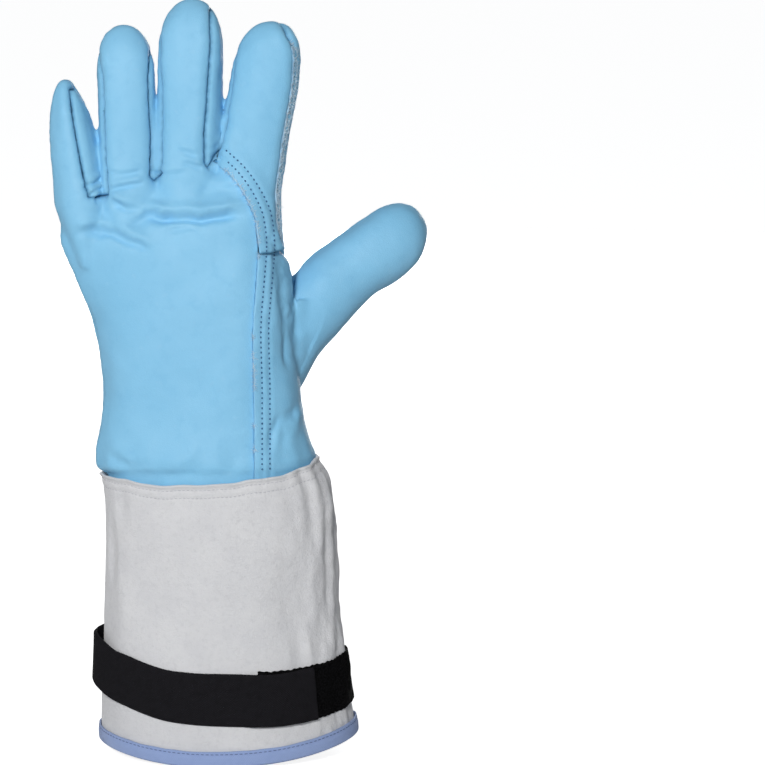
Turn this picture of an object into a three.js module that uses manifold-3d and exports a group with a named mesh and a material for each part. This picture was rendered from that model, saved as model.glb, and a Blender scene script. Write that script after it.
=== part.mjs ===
// A left-hand cryogenic work glove, modelled as it is sewn: padded leather panels for the hand,
// a flared split-leather cuff with a bound hem, and a hook-and-loop strap across the back of it.
// Millimetres. +Z runs from the cuff's mouth to the fingertips, +X to the thumb side,
// -Y is the back of the hand and +Y the palm. The origin is the centre of the cuff's mouth.
import * as THREE from "three";
import { mergeVertices } from "three/addons/utils/BufferGeometryUtils.js";
import Module from "manifold-3d";

const wasm = await Module();
wasm.setup();

// Cuff
const cuffLength = 141; // height of the top edge at the sides, above the middle of the hem
const cuffWall = 1.8;
const hemWidth = 129;
const hemDepth = 84;
const hemSlant = 3; // how much higher the hem is on the thumb side
const hemDip = 8; // how far it sinks in the middle of the back and of the palm side
const topSlant = 9; // how much higher the top edge is on the thumb side
const topDip = 5.7; // how far it sinks in the middle of the back
const bindingHeight = 8;
const bindingWall = 0.9;

// Strap and its hook patch
const strapWidth = 25;
const strapWall = 1.6;
const strapSlack = 3.4; // how far the loose strap stands off the cuff at the little finger's side
const patchWidth = 27;
const patchWall = 1.2;
const patchStart = 76; // degrees round the cuff from the thumb side, over the back
const patchEnd = -9;
const strapEnd = 46;
const strapRamp = { from: 8, to: 2 }; // degrees before the patch, between which the strap climbs on to it

// Hand
const handLength = 233.5; // from the cuff's top edge to the tip of the middle finger
const palmWidth = 108;
const palmDepth = 50;
const paddedWall = 5; // leather, insulation and lining together
const tuck = 20; // how far the hand reaches down inside the cuff
const knuckleSlope = 0.245; // the knuckles and finger roots climb towards the index finger
const fingerCurl = 9; // how far the fingertips lean to the palm side
const curlPower = 1.6;
const forkWidth = 15; // width of the strips between the fingers, at their roots
const forkTipWidth = 7;

// Thumb
const thumbLength = 133.5;
const thumbWidth = 39;
const thumbDepth = 36;
const thumbRise = 45; // degrees from the thumb side up to the fingers
const thumbForward = 11; // degrees towards the palm side
const thumbBend = 13.5;
const thumbRoll = 22; // degrees by which its lower seam is turned on to the palm side
const thumbRooting = 1.5; // how deep the thumb's leather runs into the hand's wall

// Seams
const seamGap = 0.35;
const weltHeight = 2.4; // the raw seam that stands up along the index finger
const weltWall = 2.2;
const weltBehind = 5; // how far it lies behind the middle of the hand
const weltFrom = 0.475; // its ends, as shares of the hand's length
const weltTo = 0.915;

// Colours
const blueLeather = 0x84c3e9;
const sideLeather = 0x438fb8;
const splitLeather = 0xd5d6da;
const blueTape = 0x899cc6;
const blackElastic = 0x1e1d22;
const blackHook = 0x0f0f10;

const handTop = cuffLength + handLength;
const everywhere = 3 * handLength; // reaches past the glove on every side
const handSquareness = 2.3; // 2 is an ellipse
const cuffSquareness = 2.15;
const tipShare = 0.06; // keeps the hollow of a tip from closing on itself
const handSides = 24;
const fingerSides = 14;
const thumbSides = 16;
const cuffSides = 40;

const quarters = [0, 0.25, 0.5, 0.75, 1];

const degrees = THREE.MathUtils.degToRad;
const mix = THREE.MathUtils.lerp;

// Reads a column of a table at any place between its rows.
function at(rows, key, place, column) {
  const next = rows.findIndex((row) => row[key] >= place);
  if (next === 0) return rows[0][column];
  if (next < 0) return rows.at(-1)[column];
  const [a, b] = [rows[next - 1], rows[next]];
  return mix(a[column], b[column], (place - a[key]) / (b[key] - a[key]));
}

// Solids

function solidOf(geometry) {
  const bare = new THREE.BufferGeometry();
  bare.setAttribute("position", geometry.getAttribute("position"));
  bare.setIndex(geometry.index);
  const merged = mergeVertices(bare, 1e-4);
  const mesh = new wasm.Mesh({
    numProp: 3,
    vertProperties: new Float32Array(merged.attributes.position.array),
    triVerts: new Uint32Array(merged.index.array),
  });
  return new wasm.Manifold(mesh);
}

function geometryOf(solid) {
  const { vertProperties, triVerts } = solid.getMesh();
  const geometry = new THREE.BufferGeometry();
  geometry.setAttribute("position", new THREE.BufferAttribute(vertProperties, 3));
  geometry.setIndex(new THREE.BufferAttribute(triVerts, 1));
  geometry.computeVertexNormals();
  return geometry;
}

// Joins sections of equally many points into one closed skin: a ring of them, or a bar with two ends.
function skin(sections, ring = false) {
  const count = sections[0].length;
  const points = sections.flat();
  const faces = [];
  const spans = ring ? sections.length : sections.length - 1;
  for (let s = 0; s < spans; s++) {
    const here = s * count;
    const there = ((s + 1) % sections.length) * count;
    for (let i = 0; i < count; i++) {
      const j = (i + 1) % count;
      faces.push(here + i, here + j, there + j, here + i, there + j, there + i);
    }
  }
  if (!ring) {
    for (const end of [0, sections.length - 1]) {
      const middle = new THREE.Vector3();
      sections[end].forEach((p) => middle.addScaledVector(p, 1 / count));
      points.push(middle);
      for (let i = 0; i < count; i++) {
        const edge = [end * count + ((i + 1) % count), end * count + i];
        if (end) edge.reverse();
        faces.push(...edge, points.length - 1);
      }
    }
  }
  let volume = 0;
  for (let f = 0; f < faces.length; f += 3) {
    const [a, b, c] = [0, 1, 2].map((k) => points[faces[f + k]]);
    volume += a.dot(new THREE.Vector3().crossVectors(b, c));
  }
  if (volume < 0) faces.reverse();
  const geometry = new THREE.BufferGeometry().setFromPoints(points);
  geometry.setIndex(faces);
  return solidOf(geometry);
}

// A flat outline in X and Z, extruded right through the glove's depth.
function throughDepth(outline) {
  const shape = new THREE.Shape(outline.map(([x, z]) => new THREE.Vector2(x, z)));
  const geometry = new THREE.ExtrudeGeometry(shape, { depth: 2 * everywhere, bevelEnabled: false });
  return solidOf(geometry.rotateX(Math.PI / 2).translate(0, everywhere, 0));
}

// A flat outline in Y and Z, extruded across the glove from an X onwards.
function acrossWidth(outline, from = -everywhere) {
  const shape = new THREE.Shape(outline.map(([y, z]) => new THREE.Vector2(y, z)));
  const geometry = new THREE.ExtrudeGeometry(shape, { depth: everywhere - from, bevelEnabled: false });
  return solidOf(geometry.rotateX(Math.PI / 2).rotateZ(Math.PI / 2).translate(from, 0, 0));
}

// A cut as wide as the seam gap along an open line in X and Z.
function knife(line) {
  const edge = (side) =>
    line.map(([x, z], i) => {
      const [fromX, fromZ] = line[Math.max(i - 1, 0)];
      const [toX, toZ] = line[Math.min(i + 1, line.length - 1)];
      const step = (side * seamGap) / 2 / Math.hypot(toX - fromX, toZ - fromZ);
      return [x - (toZ - fromZ) * step, z + (toX - fromX) * step];
    });
  return throughDepth([...edge(1), ...edge(-1).reverse()]);
}

// Cosine and sine, pushed out to a rounded square.
function squareTurn(turn, squareness) {
  const wave = [Math.cos(degrees(turn)), Math.sin(degrees(turn))];
  return wave.map((share) => Math.sign(share) * Math.abs(share) ** (2 / squareness));
}

// An oval section with its own reach to each of its four sides.
function oval({ centre, wide, deep, reach, sides, squareness = handSquareness }) {
  const points = [];
  for (let i = 0; i < sides; i++) {
    const [c, s] = squareTurn((i / sides) * 360, squareness);
    const across = c * (c > 0 ? reach.radial : reach.ulnar);
    const through = s * (s > 0 ? reach.palm : reach.back);
    points.push(centre.clone().addScaledVector(wide, across).addScaledVector(deep, through));
  }
  return points;
}

// Cuff surface

// Reach of the cuff to its sides, as shares of half the hem's width and depth, from hem to top edge.
const cuffShape = [
  { up: 0, ulnar: 1, radial: 1, back: 1, palm: 1 },
  { up: 0.12, ulnar: 0.992, radial: 0.96, back: 0.975, palm: 0.975 },
  { up: 0.25, ulnar: 0.985, radial: 0.925, back: 0.94, palm: 0.94 },
  { up: 0.5, ulnar: 0.962, radial: 0.865, back: 0.87, palm: 0.87 },
  { up: 0.75, ulnar: 0.95, radial: 0.838, back: 0.8, palm: 0.8 },
  { up: 0.9, ulnar: 0.962, radial: 0.81, back: 0.755, palm: 0.76 },
  { up: 1, ulnar: 0.99, radial: 0.745, back: 0.72, palm: 0.735 },
];
const cuffReach = (up, side) =>
  at(cuffShape, "up", up, side) * (side === "back" || side === "palm" ? hemDepth / 2 : hemWidth / 2);

// A point of the cuff's outer face. turn is in degrees from the thumb side, over the back of the hand.
function onCuff(turn, up, off = 0) {
  const [c, s] = squareTurn(-turn, cuffSquareness);
  const wide = cuffReach(up, c > 0 ? "radial" : "ulnar");
  const deep = cuffReach(up, s > 0 ? "palm" : "back");
  const [x, y] = [c * wide, s * deep];
  const out = new THREE.Vector2(x / wide ** 2, y / deep ** 2).normalize();
  const outward = off - dented(turn, up);
  const dip = Math.sin(degrees(turn)) ** 2;
  const hem = (x / hemWidth) * hemSlant + (0.5 - dip) * hemDip;
  const top = cuffLength + (x / hemWidth) * topSlant - (s < 0 ? dip * topDip : 0);
  return new THREE.Vector3(x + out.x * outward, y + out.y * outward, mix(hem, top, up));
}

// Soft hollows in the cuff's leather: their middle and reach in degrees and as shares of its length.
const cuffDents = [
  { turn: 128, up: 0.64, wide: 26, tall: 0.2, deep: 1.8 },
  { turn: 52, up: 0.56, wide: 20, tall: 0.22, deep: 1.5 },
  { turn: 160, up: 0.5, wide: 16, tall: 0.24, deep: 1.2 },
  { turn: 230, up: 0.55, wide: 24, tall: 0.2, deep: 1.6 },
  { turn: 300, up: 0.6, wide: 22, tall: 0.2, deep: 1.3 },
];
const dented = (turn, up) =>
  cuffDents.reduce((sum, dent) => {
    const away = ((turn - dent.turn) / dent.wide) ** 2 + ((up - dent.up) / dent.tall) ** 2;
    return sum + dent.deep * Math.max(0, 1 - away) ** 2;
  }, 0);

function cuff() {
  const sections = [];
  for (let i = 0; i < cuffSides; i++) {
    const turn = (i / cuffSides) * 360;
    const outer = cuffShape.map(({ up }) => onCuff(turn, up));
    const inner = cuffShape.map(({ up }) => onCuff(turn, up, -cuffWall)).reverse();
    sections.push([...outer, ...inner]);
  }
  return skin(sections, true);
}

// A tape folded round the hem, clear of the leather by the seam gap.
function hemBinding() {
  const top = bindingHeight / cuffLength;
  const inside = -cuffWall - seamGap;
  const legs = [
    { off: seamGap + bindingWall, up: top, drop: 0 },
    { off: seamGap + bindingWall, up: 0, drop: seamGap },
    { off: seamGap, up: 0, drop: seamGap + bindingWall },
    { off: inside, up: 0, drop: seamGap + bindingWall },
    { off: inside - bindingWall, up: 0, drop: seamGap },
    { off: inside - bindingWall, up: top, drop: 0 },
    { off: inside, up: top, drop: 0 },
    { off: inside, up: 0, drop: seamGap },
    { off: seamGap, up: 0, drop: seamGap },
    { off: seamGap, up: top, drop: 0 },
  ];
  const sections = [];
  for (let i = 0; i < cuffSides; i++) {
    const turn = (i / cuffSides) * 360;
    sections.push(
      legs.map(({ off, up, drop }) => onCuff(turn, up, off).sub(new THREE.Vector3(0, 0, drop))),
    );
  }
  return skin(sections, true);
}

// Height of the strap's middle as a share of the cuff, and its stand-off as a share of the slack.
const strapRoute = [
  { turn: -12, up: 0.25, off: 0 },
  { turn: 20, up: 0.238, off: 0 },
  { turn: 48, up: 0.215, off: 0 },
  { turn: 90, up: 0.205, off: 0 },
  { turn: 120, up: 0.225, off: 0 },
  { turn: 140, up: 0.26, off: 0.15 },
  { turn: 155, up: 0.292, off: 0.6 },
  { turn: 168, up: 0.322, off: 1 },
  { turn: 180, up: 0.34, off: 0.95 },
  { turn: 190, up: 0.35, off: 0.45 },
  { turn: 197, up: 0.355, off: 0 },
];

// A band on the cuff: its height, how far it stands off and how thick it is are given round the cuff.
function band({ from, to, steps, width, wall, lift }) {
  const sections = [];
  for (let i = 0; i <= steps; i++) {
    const turn = mix(from, to, i / steps);
    const middle = at(strapRoute, "turn", turn, "up");
    const half = width / cuffLength / 2;
    const off = seamGap + lift(turn);
    sections.push([
      onCuff(turn, middle - half, off),
      onCuff(turn, middle - half, off + wall),
      onCuff(turn, middle, off + wall),
      onCuff(turn, middle + half, off + wall),
      onCuff(turn, middle + half, off),
      onCuff(turn, middle, off),
    ]);
  }
  return skin(sections);
}

function hookPatch() {
  return band({
    from: patchEnd, to: patchStart, steps: 14, width: patchWidth, wall: patchWall, lift: () => 0,
  });
}

// The strap climbs over the patch, lies on the back and swings out round the little finger's side.
function strap() {
  const [low, high] = [patchStart + strapRamp.from, patchStart + strapRamp.to];
  const overPatch = (turn) =>
    (patchWall + seamGap) * THREE.MathUtils.clamp((low - turn) / (low - high), 0, 1);
  const slack = (turn) => strapSlack * at(strapRoute, "turn", turn, "off");
  return band({
    from: strapEnd, to: strapRoute.at(-1).turn, steps: 36, width: strapWidth, wall: strapWall,
    lift: (turn) => overPatch(turn) + slack(turn),
  });
}

// Hand

// Reach of the palm to its sides above the cuff, as shares of its width and depth.
// tilt turns the section towards the slope of the knuckles. The back has its main crease at 0.462.
const palmShape = [
  { up: 0.012, ulnar: 0.596, radial: 0.372, back: 0.54, palm: 0.54, tilt: 0 },
  { up: 0.045, ulnar: 0.592, radial: 0.355, back: 0.52, palm: 0.56, tilt: 0 },
  { up: 0.106, ulnar: 0.579, radial: 0.344, back: 0.51, palm: 0.56, tilt: 0 },
  { up: 0.168, ulnar: 0.577, radial: 0.338, back: 0.5, palm: 0.55, tilt: 0 },
  { up: 0.24, ulnar: 0.592, radial: 0.328, back: 0.495, palm: 0.53, tilt: 0 },
  { up: 0.307, ulnar: 0.618, radial: 0.31, back: 0.49, palm: 0.51, tilt: 0.1 },
  { up: 0.373, ulnar: 0.665, radial: 0.285, back: 0.475, palm: 0.49, tilt: 0.3 },
  { up: 0.435, ulnar: 0.705, radial: 0.26, back: 0.455, palm: 0.47, tilt: 0.55 },
  { up: 0.462, ulnar: 0.724, radial: 0.255, back: 0.415, palm: 0.455, tilt: 0.67 },
  { up: 0.497, ulnar: 0.745, radial: 0.25, back: 0.42, palm: 0.43, tilt: 0.8 },
  { up: 0.548, ulnar: 0.765, radial: 0.25, back: 0.33, palm: 0.36, tilt: 1 },
  { up: 0.589, ulnar: 0.74, radial: 0.22, back: 0.24, palm: 0.27, tilt: 1 },
];
const wristUp = 0.1; // up to here the sections also follow the slant of the cuff's top edge
const knuckleMiddle = -0.31; // share of the palm's width, where a tilted section keeps its height

const acrossOrThrough = (side) => (side === "back" || side === "palm" ? palmDepth : palmWidth);

// Reach of the stretch that is tucked into the cuff: clear of its inside, and no wider than the wrist.
function tuckedReach(side) {
  const inside = quarters.map((share) => cuffReach(1 - (share * tuck) / cuffLength, side));
  return Math.min(Math.min(...inside) - cuffWall - seamGap, palmShape[0][side] * acrossOrThrough(side));
}

function palmSolid(inset) {
  const sides = ["ulnar", "radial", "back", "palm"];
  const reachOf = (sizes) => Object.fromEntries(sides.map((side) => [side, sizes(side) - inset]));
  const section = (z, reach, squareness) =>
    oval({
      centre: new THREE.Vector3(0, 0, z),
      wide: new THREE.Vector3(1, 0, 0),
      deep: new THREE.Vector3(0, 1, 0),
      sides: handSides,
      reach,
      squareness,
    });
  const cuffSlant = topSlant / hemWidth;
  const sections = [cuffLength - tuck - inset, cuffLength + seamGap].map((z) => {
    const tucked = section(z, reachOf(tuckedReach), cuffSquareness);
    tucked.forEach((p) => (p.z += cuffSlant * p.x));
    return tucked;
  });
  for (const row of palmShape) {
    const z = cuffLength + row.up * handLength - row.tilt * inset; // the inside ends a wall lower
    const across = section(z, reachOf((side) => row[side] * acrossOrThrough(side)));
    const slant = Math.max(0, 1 - row.up / wristUp) * cuffSlant;
    const slope = row.tilt * knuckleSlope;
    across.forEach((p) => (p.z += slant * p.x + slope * (p.x - knuckleMiddle * palmWidth)));
    sections.push(across);
  }
  return skin(sections);
}

// Each finger: its root as shares of the palm's width and the hand's length, its size, and its lean.
const fingers = {
  little: { root: [-0.665, 0.559], length: 62.5, width: 24.5, depth: 25.5, lean: -7.5, tip: "slim" },
  ring: { root: [-0.432, 0.579], length: 83, width: 28.5, depth: 28.5, lean: -3.2, tip: "round" },
  middle: { root: [-0.175, 0.6], length: 91.5, width: 31.5, depth: 30, lean: 1.8, tip: "round" },
  index: { root: [0.087, 0.589], length: 84.5, width: 33.5, depth: 30, lean: 10.4, tip: "round" },
};

// Width and depth of a finger along it, as shares of its own, from inside the palm to the tip.
const fingerShape = {
  round: [
    { along: -0.5, wide: 0.88, deep: 1.2 },
    { along: -0.2, wide: 0.98, deep: 1.2 },
    { along: 0.05, wide: 1.02, deep: 1.1 },
    { along: 0.3, wide: 1, deep: 1.02 },
    { along: 0.6, wide: 0.98, deep: 0.97 },
    { along: 0.78, wide: 0.94, deep: 0.9 },
    { along: 0.88, wide: 0.82, deep: 0.78 },
    { along: 0.95, wide: 0.6, deep: 0.58 },
    { along: 0.985, wide: 0.36, deep: 0.36 },
    { along: 1, wide: 0.14, deep: 0.14 },
  ],
  slim: [
    { along: -0.5, wide: 0.5, deep: 1.1 },
    { along: -0.2, wide: 0.8, deep: 1.1 },
    { along: 0.05, wide: 0.98, deep: 1.06 },
    { along: 0.36, wide: 0.98, deep: 1 },
    { along: 0.58, wide: 0.92, deep: 0.97 },
    { along: 0.7, wide: 0.82, deep: 0.9 },
    { along: 0.82, wide: 0.64, deep: 0.78 },
    { along: 0.92, wide: 0.44, deep: 0.58 },
    { along: 0.98, wide: 0.24, deep: 0.36 },
    { along: 1, wide: 0.08, deep: 0.12 },
  ],
};
const rootOf = ({ root }) => [root[0] * palmWidth, cuffLength + root[1] * handLength];

// Y of the line down the middle of the hand, which the fingers follow as they curl.
const knuckleHeight = cuffLength + 0.5 * handLength;
const middleY = (z) =>
  fingerCurl * Math.max(0, (z - knuckleHeight) / (handTop - knuckleHeight)) ** curlPower;

// A point on a finger's axis, at a share of its length.
function onFinger(finger, along) {
  const [x, z] = rootOf(finger);
  const way = along * finger.length;
  const lean = degrees(finger.lean);
  const up = z + way * Math.cos(lean);
  return new THREE.Vector3(x + way * Math.sin(lean), middleY(up), up);
}

// A closed tube with rounded sections along an axis, all of it smaller by an inset.
function tube({ axis, rows, length, width, depth, sides }, inset) {
  const [start, end] = [rows[0].along, rows.at(-1).along];
  const shorter = (length - inset) / length;
  const step = 0.03; // share of the length over which the axis' direction is taken
  const sections = rows.map(({ along, wide, deep }) => {
    const ahead = axis(Math.min(along + step, end)).sub(axis(Math.max(along - step, start))).normalize();
    const across = new THREE.Vector3(0, 1, 0).cross(ahead).normalize();
    const halfWide = Math.max((wide * width) / 2 - inset, tipShare * wide * width);
    const halfDeep = Math.max((deep * depth) / 2 - inset, tipShare * deep * depth);
    return oval({
      centre: axis(along > 0 ? along * shorter : along),
      wide: across,
      deep: new THREE.Vector3().crossVectors(ahead, across),
      reach: { ulnar: halfWide, radial: halfWide, back: halfDeep, palm: halfDeep },
      sides,
    });
  });
  return skin(sections);
}

function fingerSolid(finger, inset) {
  const { length, width, depth, tip } = finger;
  const axis = (along) => onFinger(finger, along);
  return tube({ axis, rows: fingerShape[tip], length, width, depth, sides: fingerSides }, inset);
}

// Thumb: how far its axis bows towards the fingers, and its width and depth, as shares along it.
const thumbShape = [
  { along: 0, bow: 0, wide: 0.86, deep: 0.8 },
  { along: 0.2, bow: 0.6, wide: 0.96, deep: 1 },
  { along: 0.42, bow: 0.97, wide: 0.95, deep: 1.05 },
  { along: 0.57, bow: 1, wide: 0.93, deep: 1 },
  { along: 0.69, bow: 0.9, wide: 0.9, deep: 0.95 },
  { along: 0.79, bow: 0.66, wide: 0.93, deep: 0.94 },
  { along: 0.88, bow: 0.52, wide: 0.87, deep: 0.86 },
  { along: 0.94, bow: 0.38, wide: 0.72, deep: 0.7 },
  { along: 0.98, bow: 0.22, wide: 0.46, deep: 0.46 },
  { along: 1, bow: 0.12, wide: 0.16, deep: 0.18 },
];
const thumbRoot = new THREE.Vector3(0.074 * palmWidth, 0.2 * palmDepth, cuffLength + 0.101 * handLength);
const thumbWay = new THREE.Vector3(1, 0, 0)
  .applyAxisAngle(new THREE.Vector3(0, 0, 1), degrees(thumbForward))
  .applyAxisAngle(new THREE.Vector3(0, 1, 0), -degrees(thumbRise));
const thumbUp = new THREE.Vector3(0, 1, 0).cross(thumbWay).negate().normalize();

function onThumb(along) {
  const bow = at(thumbShape, "along", along, "bow") * thumbBend;
  return thumbRoot.clone().addScaledVector(thumbWay, along * thumbLength).addScaledVector(thumbUp, bow);
}

function thumbSolid(inset) {
  const sizes = { length: thumbLength, width: thumbWidth, depth: thumbDepth, sides: thumbSides };
  return tube({ axis: onThumb, rows: thumbShape, ...sizes }, inset);
}

// Panels

// Places in X and Z, given as shares of the palm's width and of the hand's length above the cuff.
const onHand = (points) => points.map(([x, up]) => [x * palmWidth, cuffLength + up * handLength]);

// Seams from the fork of the middle and index fingers down to the cuff, and round the thumb's root.
const backSeam = onHand([
  [0.02, 0.554], [0.09, 0.514], [0.135, 0.476], [0.153, 0.434], [0.148, 0.396],
  [0.135, 0.324], [0.123, 0.233], [0.124, 0.123], [0.128, 0.012], [0.132, -0.12],
]);
const palmSeam = onHand([
  [-0.045, 0.536], [-0.14, 0.466], [-0.17, 0.410], [-0.198, 0.352], [-0.203, 0.299],
  [-0.193, 0.248], [-0.154, 0.196], [-0.082, 0.150], [-0.008, 0.103], [0.055, 0.062],
  [0.104, 0.014], [0.105, -0.12],
]);
const indexFoot = cuffLength + 0.468 * handLength; // lower edge of the index finger's panel
const thumbFoot = onHand([
  [0.104, 0.014], [0.114, 0.073], [0.2, 0.143], [0.36, 0.223],
]);
const fingerFoot = onHand([
  [-0.56, 0.509], [-0.5, 0.497], [-0.34, 0.511], [-0.18, 0.510], [-0.045, 0.519],
]);

// The middle of the gap between two fingers, from its foot to past the tips.
const gapLine = (first, second) =>
  [0.28, 0.6, 1, 1.6].map((along) => {
    const middle = onFinger(first, along).lerp(onFinger(second, along), 0.5);
    return [middle.x, middle.z];
  });

// Splits a solid at a line in X and Z that runs down past it, with the seam's gap.
function splitAt(solid, line) {
  const whole = [...line, [line.at(-1)[0], -everywhere]];
  const left = throughDepth([...whole, [-everywhere, -everywhere], [-everywhere, line[0][1]]]);
  const gap = knife(whole);
  return [solid.intersect(left).subtract(gap), solid.subtract(left).subtract(gap)];
}

// Everything on the palm side of the line down the middle of the hand, moved by an offset.
function palmSide(offset) {
  const outline = [[everywhere, -everywhere], [offset, -everywhere]];
  for (const share of quarters) {
    const z = mix(knuckleHeight, handTop, share);
    outline.push([middleY(z) + offset, z]);
  }
  outline.push([middleY(handTop) + offset, everywhere], [everywhere, everywhere]);
  return acrossWidth(outline);
}

// The strip between two fingers: a wedge that narrows from the finger roots to the tips.
function forkWedge(first, second, grow) {
  const ends = [
    { along: -0.15, width: forkWidth, pick: Math.min, past: -grow },
    { along: 1.1, width: forkTipWidth, pick: Math.max, past: grow },
  ];
  const sections = ends.map(({ along, width, pick, past }) => {
    const [left, right] = [onFinger(first, along), onFinger(second, along)];
    const z = pick(left.z, right.z) + past;
    const half = width / 2 + grow;
    return [
      new THREE.Vector3(left.x - grow, middleY(z) - half, z),
      new THREE.Vector3(right.x + grow, middleY(z) - half, z),
      new THREE.Vector3(right.x + grow, middleY(z) + half, z),
      new THREE.Vector3(left.x - grow, middleY(z) + half, z),
    ];
  });
  return skin(sections);
}

// The largest body of a cut solid, without the chips that a cut leaves.
const mainBody = (solid) => solid.decompose().sort((a, b) => b.volume() - a.volume())[0];

// Leather pieces of the hand, cut out of one padded shell along the seams.
function handPanels() {
  const { little, ring, middle, index } = fingers;
  const hand = (inset) =>
    Object.values(fingers).reduce((sum, finger) => sum.add(fingerSolid(finger, inset)), palmSolid(inset));
  const skinned = hand(0);
  const shell = skinned.add(thumbSolid(0)).subtract(hand(paddedWall)).subtract(thumbSolid(paddedWall));
  let body = shell.intersect(skinned);
  const thumbSpace = thumbSolid(-seamGap);
  const thumb = shell.intersect(thumbSpace).subtract(hand(thumbRooting));

  const forks = {};
  const cutFork = (name, first, second) => {
    forks[name] = mainBody(body.intersect(forkWedge(first, second, 0)));
    body = body.subtract(forkWedge(first, second, seamGap));
  };
  cutFork("fork_little_ring", little, ring);
  cutFork("fork_ring_middle", ring, middle);
  cutFork("fork_middle_index", middle, index);

  const indexGap = gapLine(middle, index).reverse();
  const [mainBack, indexBack] = splitAt(body.subtract(palmSide(-seamGap)), [...indexGap, ...backSeam]);
  const [mainPalm, indexPalm] = splitAt(body.intersect(palmSide(0)), [...indexGap, ...palmSeam]);

  // The ring and middle fingers' fronts are sewn on across their feet.
  const fronts = throughDepth([...gapLine(little, ring), ...indexGap, ...[...fingerFoot].reverse()]);
  const frontGaps = knife(gapLine(little, ring)).add(knife(fingerFoot));
  const [ringFront, middleFront] = splitAt(
    mainPalm.intersect(fronts).subtract(frontGaps),
    gapLine(ring, middle).reverse(),
  );

  // Below the index panel the thumb's back runs on as a strip, round the edge of the hand to the palm.
  const foot = thumbFoot.at(-1)[1];
  const belowThumb = throughDepth([
    ...thumbFoot, [everywhere, foot], [everywhere, -everywhere], [thumbFoot[0][0], -everywhere],
  ]);
  const footLine = [[-everywhere, indexFoot], [everywhere, indexFoot]];
  const belowIndex = throughDepth([...footLine, [everywhere, -everywhere], [-everywhere, -everywhere]]);
  const strip = indexBack.intersect(belowIndex).subtract(knife(footLine));
  const wrap = splitAt(body.intersect(palmSide(-2 * seamGap)), [...indexGap, ...palmSeam])[1];
  const around = strip.add(wrap.intersect(belowThumb));
  const inner = indexPalm.subtract(belowThumb).subtract(knife([...thumbFoot, [everywhere, foot]]));

  return {
    back_panel: mainBody(mainBack),
    index_panel: mainBody(indexBack.subtract(belowIndex).subtract(knife(footLine))),
    palm_panel: mainBody(mainPalm.subtract(fronts).subtract(frontGaps)),
    ring_front: mainBody(ringFront),
    middle_front: mainBody(middleFront),
    thumb_back: mainBody(
      around.subtract(thumbSpace.intersect(thumbHalf(-1, 0))).add(thumb.intersect(thumbHalf(1, seamGap))),
    ),
    thenar_panel: mainBody(
      inner.subtract(thumbSpace.intersect(thumbHalf(1, 0))).add(thumb.intersect(thumbHalf(-1, 0))),
    ),
    ...forks,
    index_welt: welt(),
  };
}

// All that lies behind (1) or before (-1) the plane through both seams of the thumb, from an offset on.
function thumbHalf(side, offset) {
  const across = thumbUp.clone().applyAxisAngle(thumbWay, degrees(thumbRoll));
  const back = new THREE.Vector3().crossVectors(thumbWay, across);
  const place = new THREE.Matrix4().makeBasis(thumbWay, across, back).setPosition(thumbRoot);
  const box = new THREE.BoxGeometry(4 * thumbLength, 4 * thumbLength, thumbLength);
  return solidOf(box.translate(0, 0, side * (thumbLength / 2 + offset)).applyMatrix4(place));
}

// The raw edges of the seam along the index finger, standing off its outer side.
function welt() {
  const skinAt = (inset) => palmSolid(inset).add(fingerSolid(fingers.index, inset));
  const heights = quarters.map((share) => cuffLength + mix(weltFrom, weltTo, share) * handLength);
  const face = (side) => heights.map((z) => [middleY(z) - weltBehind + (side * weltWall) / 2, z]);
  const plate = acrossWidth([...face(-1), ...face(1).reverse()], rootOf(fingers.index)[0]);
  return mainBody(skinAt(-seamGap - weltHeight).subtract(skinAt(-seamGap)).intersect(plate));
}

// The glove

function node(name, solid, color, roughness) {
  const material = new THREE.MeshStandardMaterial({ color, roughness, metalness: 0 });
  const made = new THREE.Mesh(geometryOf(solid), material);
  made.name = name;
  return made;
}

const glove = new THREE.Group();
for (const [name, solid] of Object.entries(handPanels())) {
  const side = name.startsWith("fork") || name === "index_welt";
  glove.add(node(name, solid, side ? sideLeather : blueLeather, 0.75));
}
glove.add(
  node("cuff", cuff(), splitLeather, 0.95),
  node("hem_binding", hemBinding(), blueTape, 0.85),
  node("strap", strap(), blackElastic, 0.9),
  node("hook_patch", hookPatch(), blackHook, 1),
);

export default glove;
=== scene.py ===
import math
import bpy
import numpy as np
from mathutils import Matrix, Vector, noise
from mathutils.bvhtree import BVHTree
from mathutils.kdtree import KDTree


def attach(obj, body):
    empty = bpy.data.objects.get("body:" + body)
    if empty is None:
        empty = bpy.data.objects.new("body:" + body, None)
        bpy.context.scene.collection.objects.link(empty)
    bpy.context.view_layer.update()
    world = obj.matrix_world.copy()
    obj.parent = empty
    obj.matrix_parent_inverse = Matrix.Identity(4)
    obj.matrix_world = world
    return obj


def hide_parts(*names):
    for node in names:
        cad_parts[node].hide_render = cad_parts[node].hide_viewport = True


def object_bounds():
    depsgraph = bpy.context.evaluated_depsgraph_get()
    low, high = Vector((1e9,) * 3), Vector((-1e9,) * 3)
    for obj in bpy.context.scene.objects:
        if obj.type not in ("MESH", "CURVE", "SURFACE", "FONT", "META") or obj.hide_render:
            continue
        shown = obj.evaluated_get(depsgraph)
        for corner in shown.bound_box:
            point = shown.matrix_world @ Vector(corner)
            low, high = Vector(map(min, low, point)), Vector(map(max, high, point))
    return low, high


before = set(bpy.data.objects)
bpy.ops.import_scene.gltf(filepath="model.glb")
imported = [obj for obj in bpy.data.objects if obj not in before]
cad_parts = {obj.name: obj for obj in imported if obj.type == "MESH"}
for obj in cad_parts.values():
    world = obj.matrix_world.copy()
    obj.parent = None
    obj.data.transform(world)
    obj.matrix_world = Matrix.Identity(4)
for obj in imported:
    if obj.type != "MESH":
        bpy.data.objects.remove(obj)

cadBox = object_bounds()
scene = bpy.context.scene
mm = 0.001  # shapes are worked out in millimetres, and meshes are stored in metres

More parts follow.
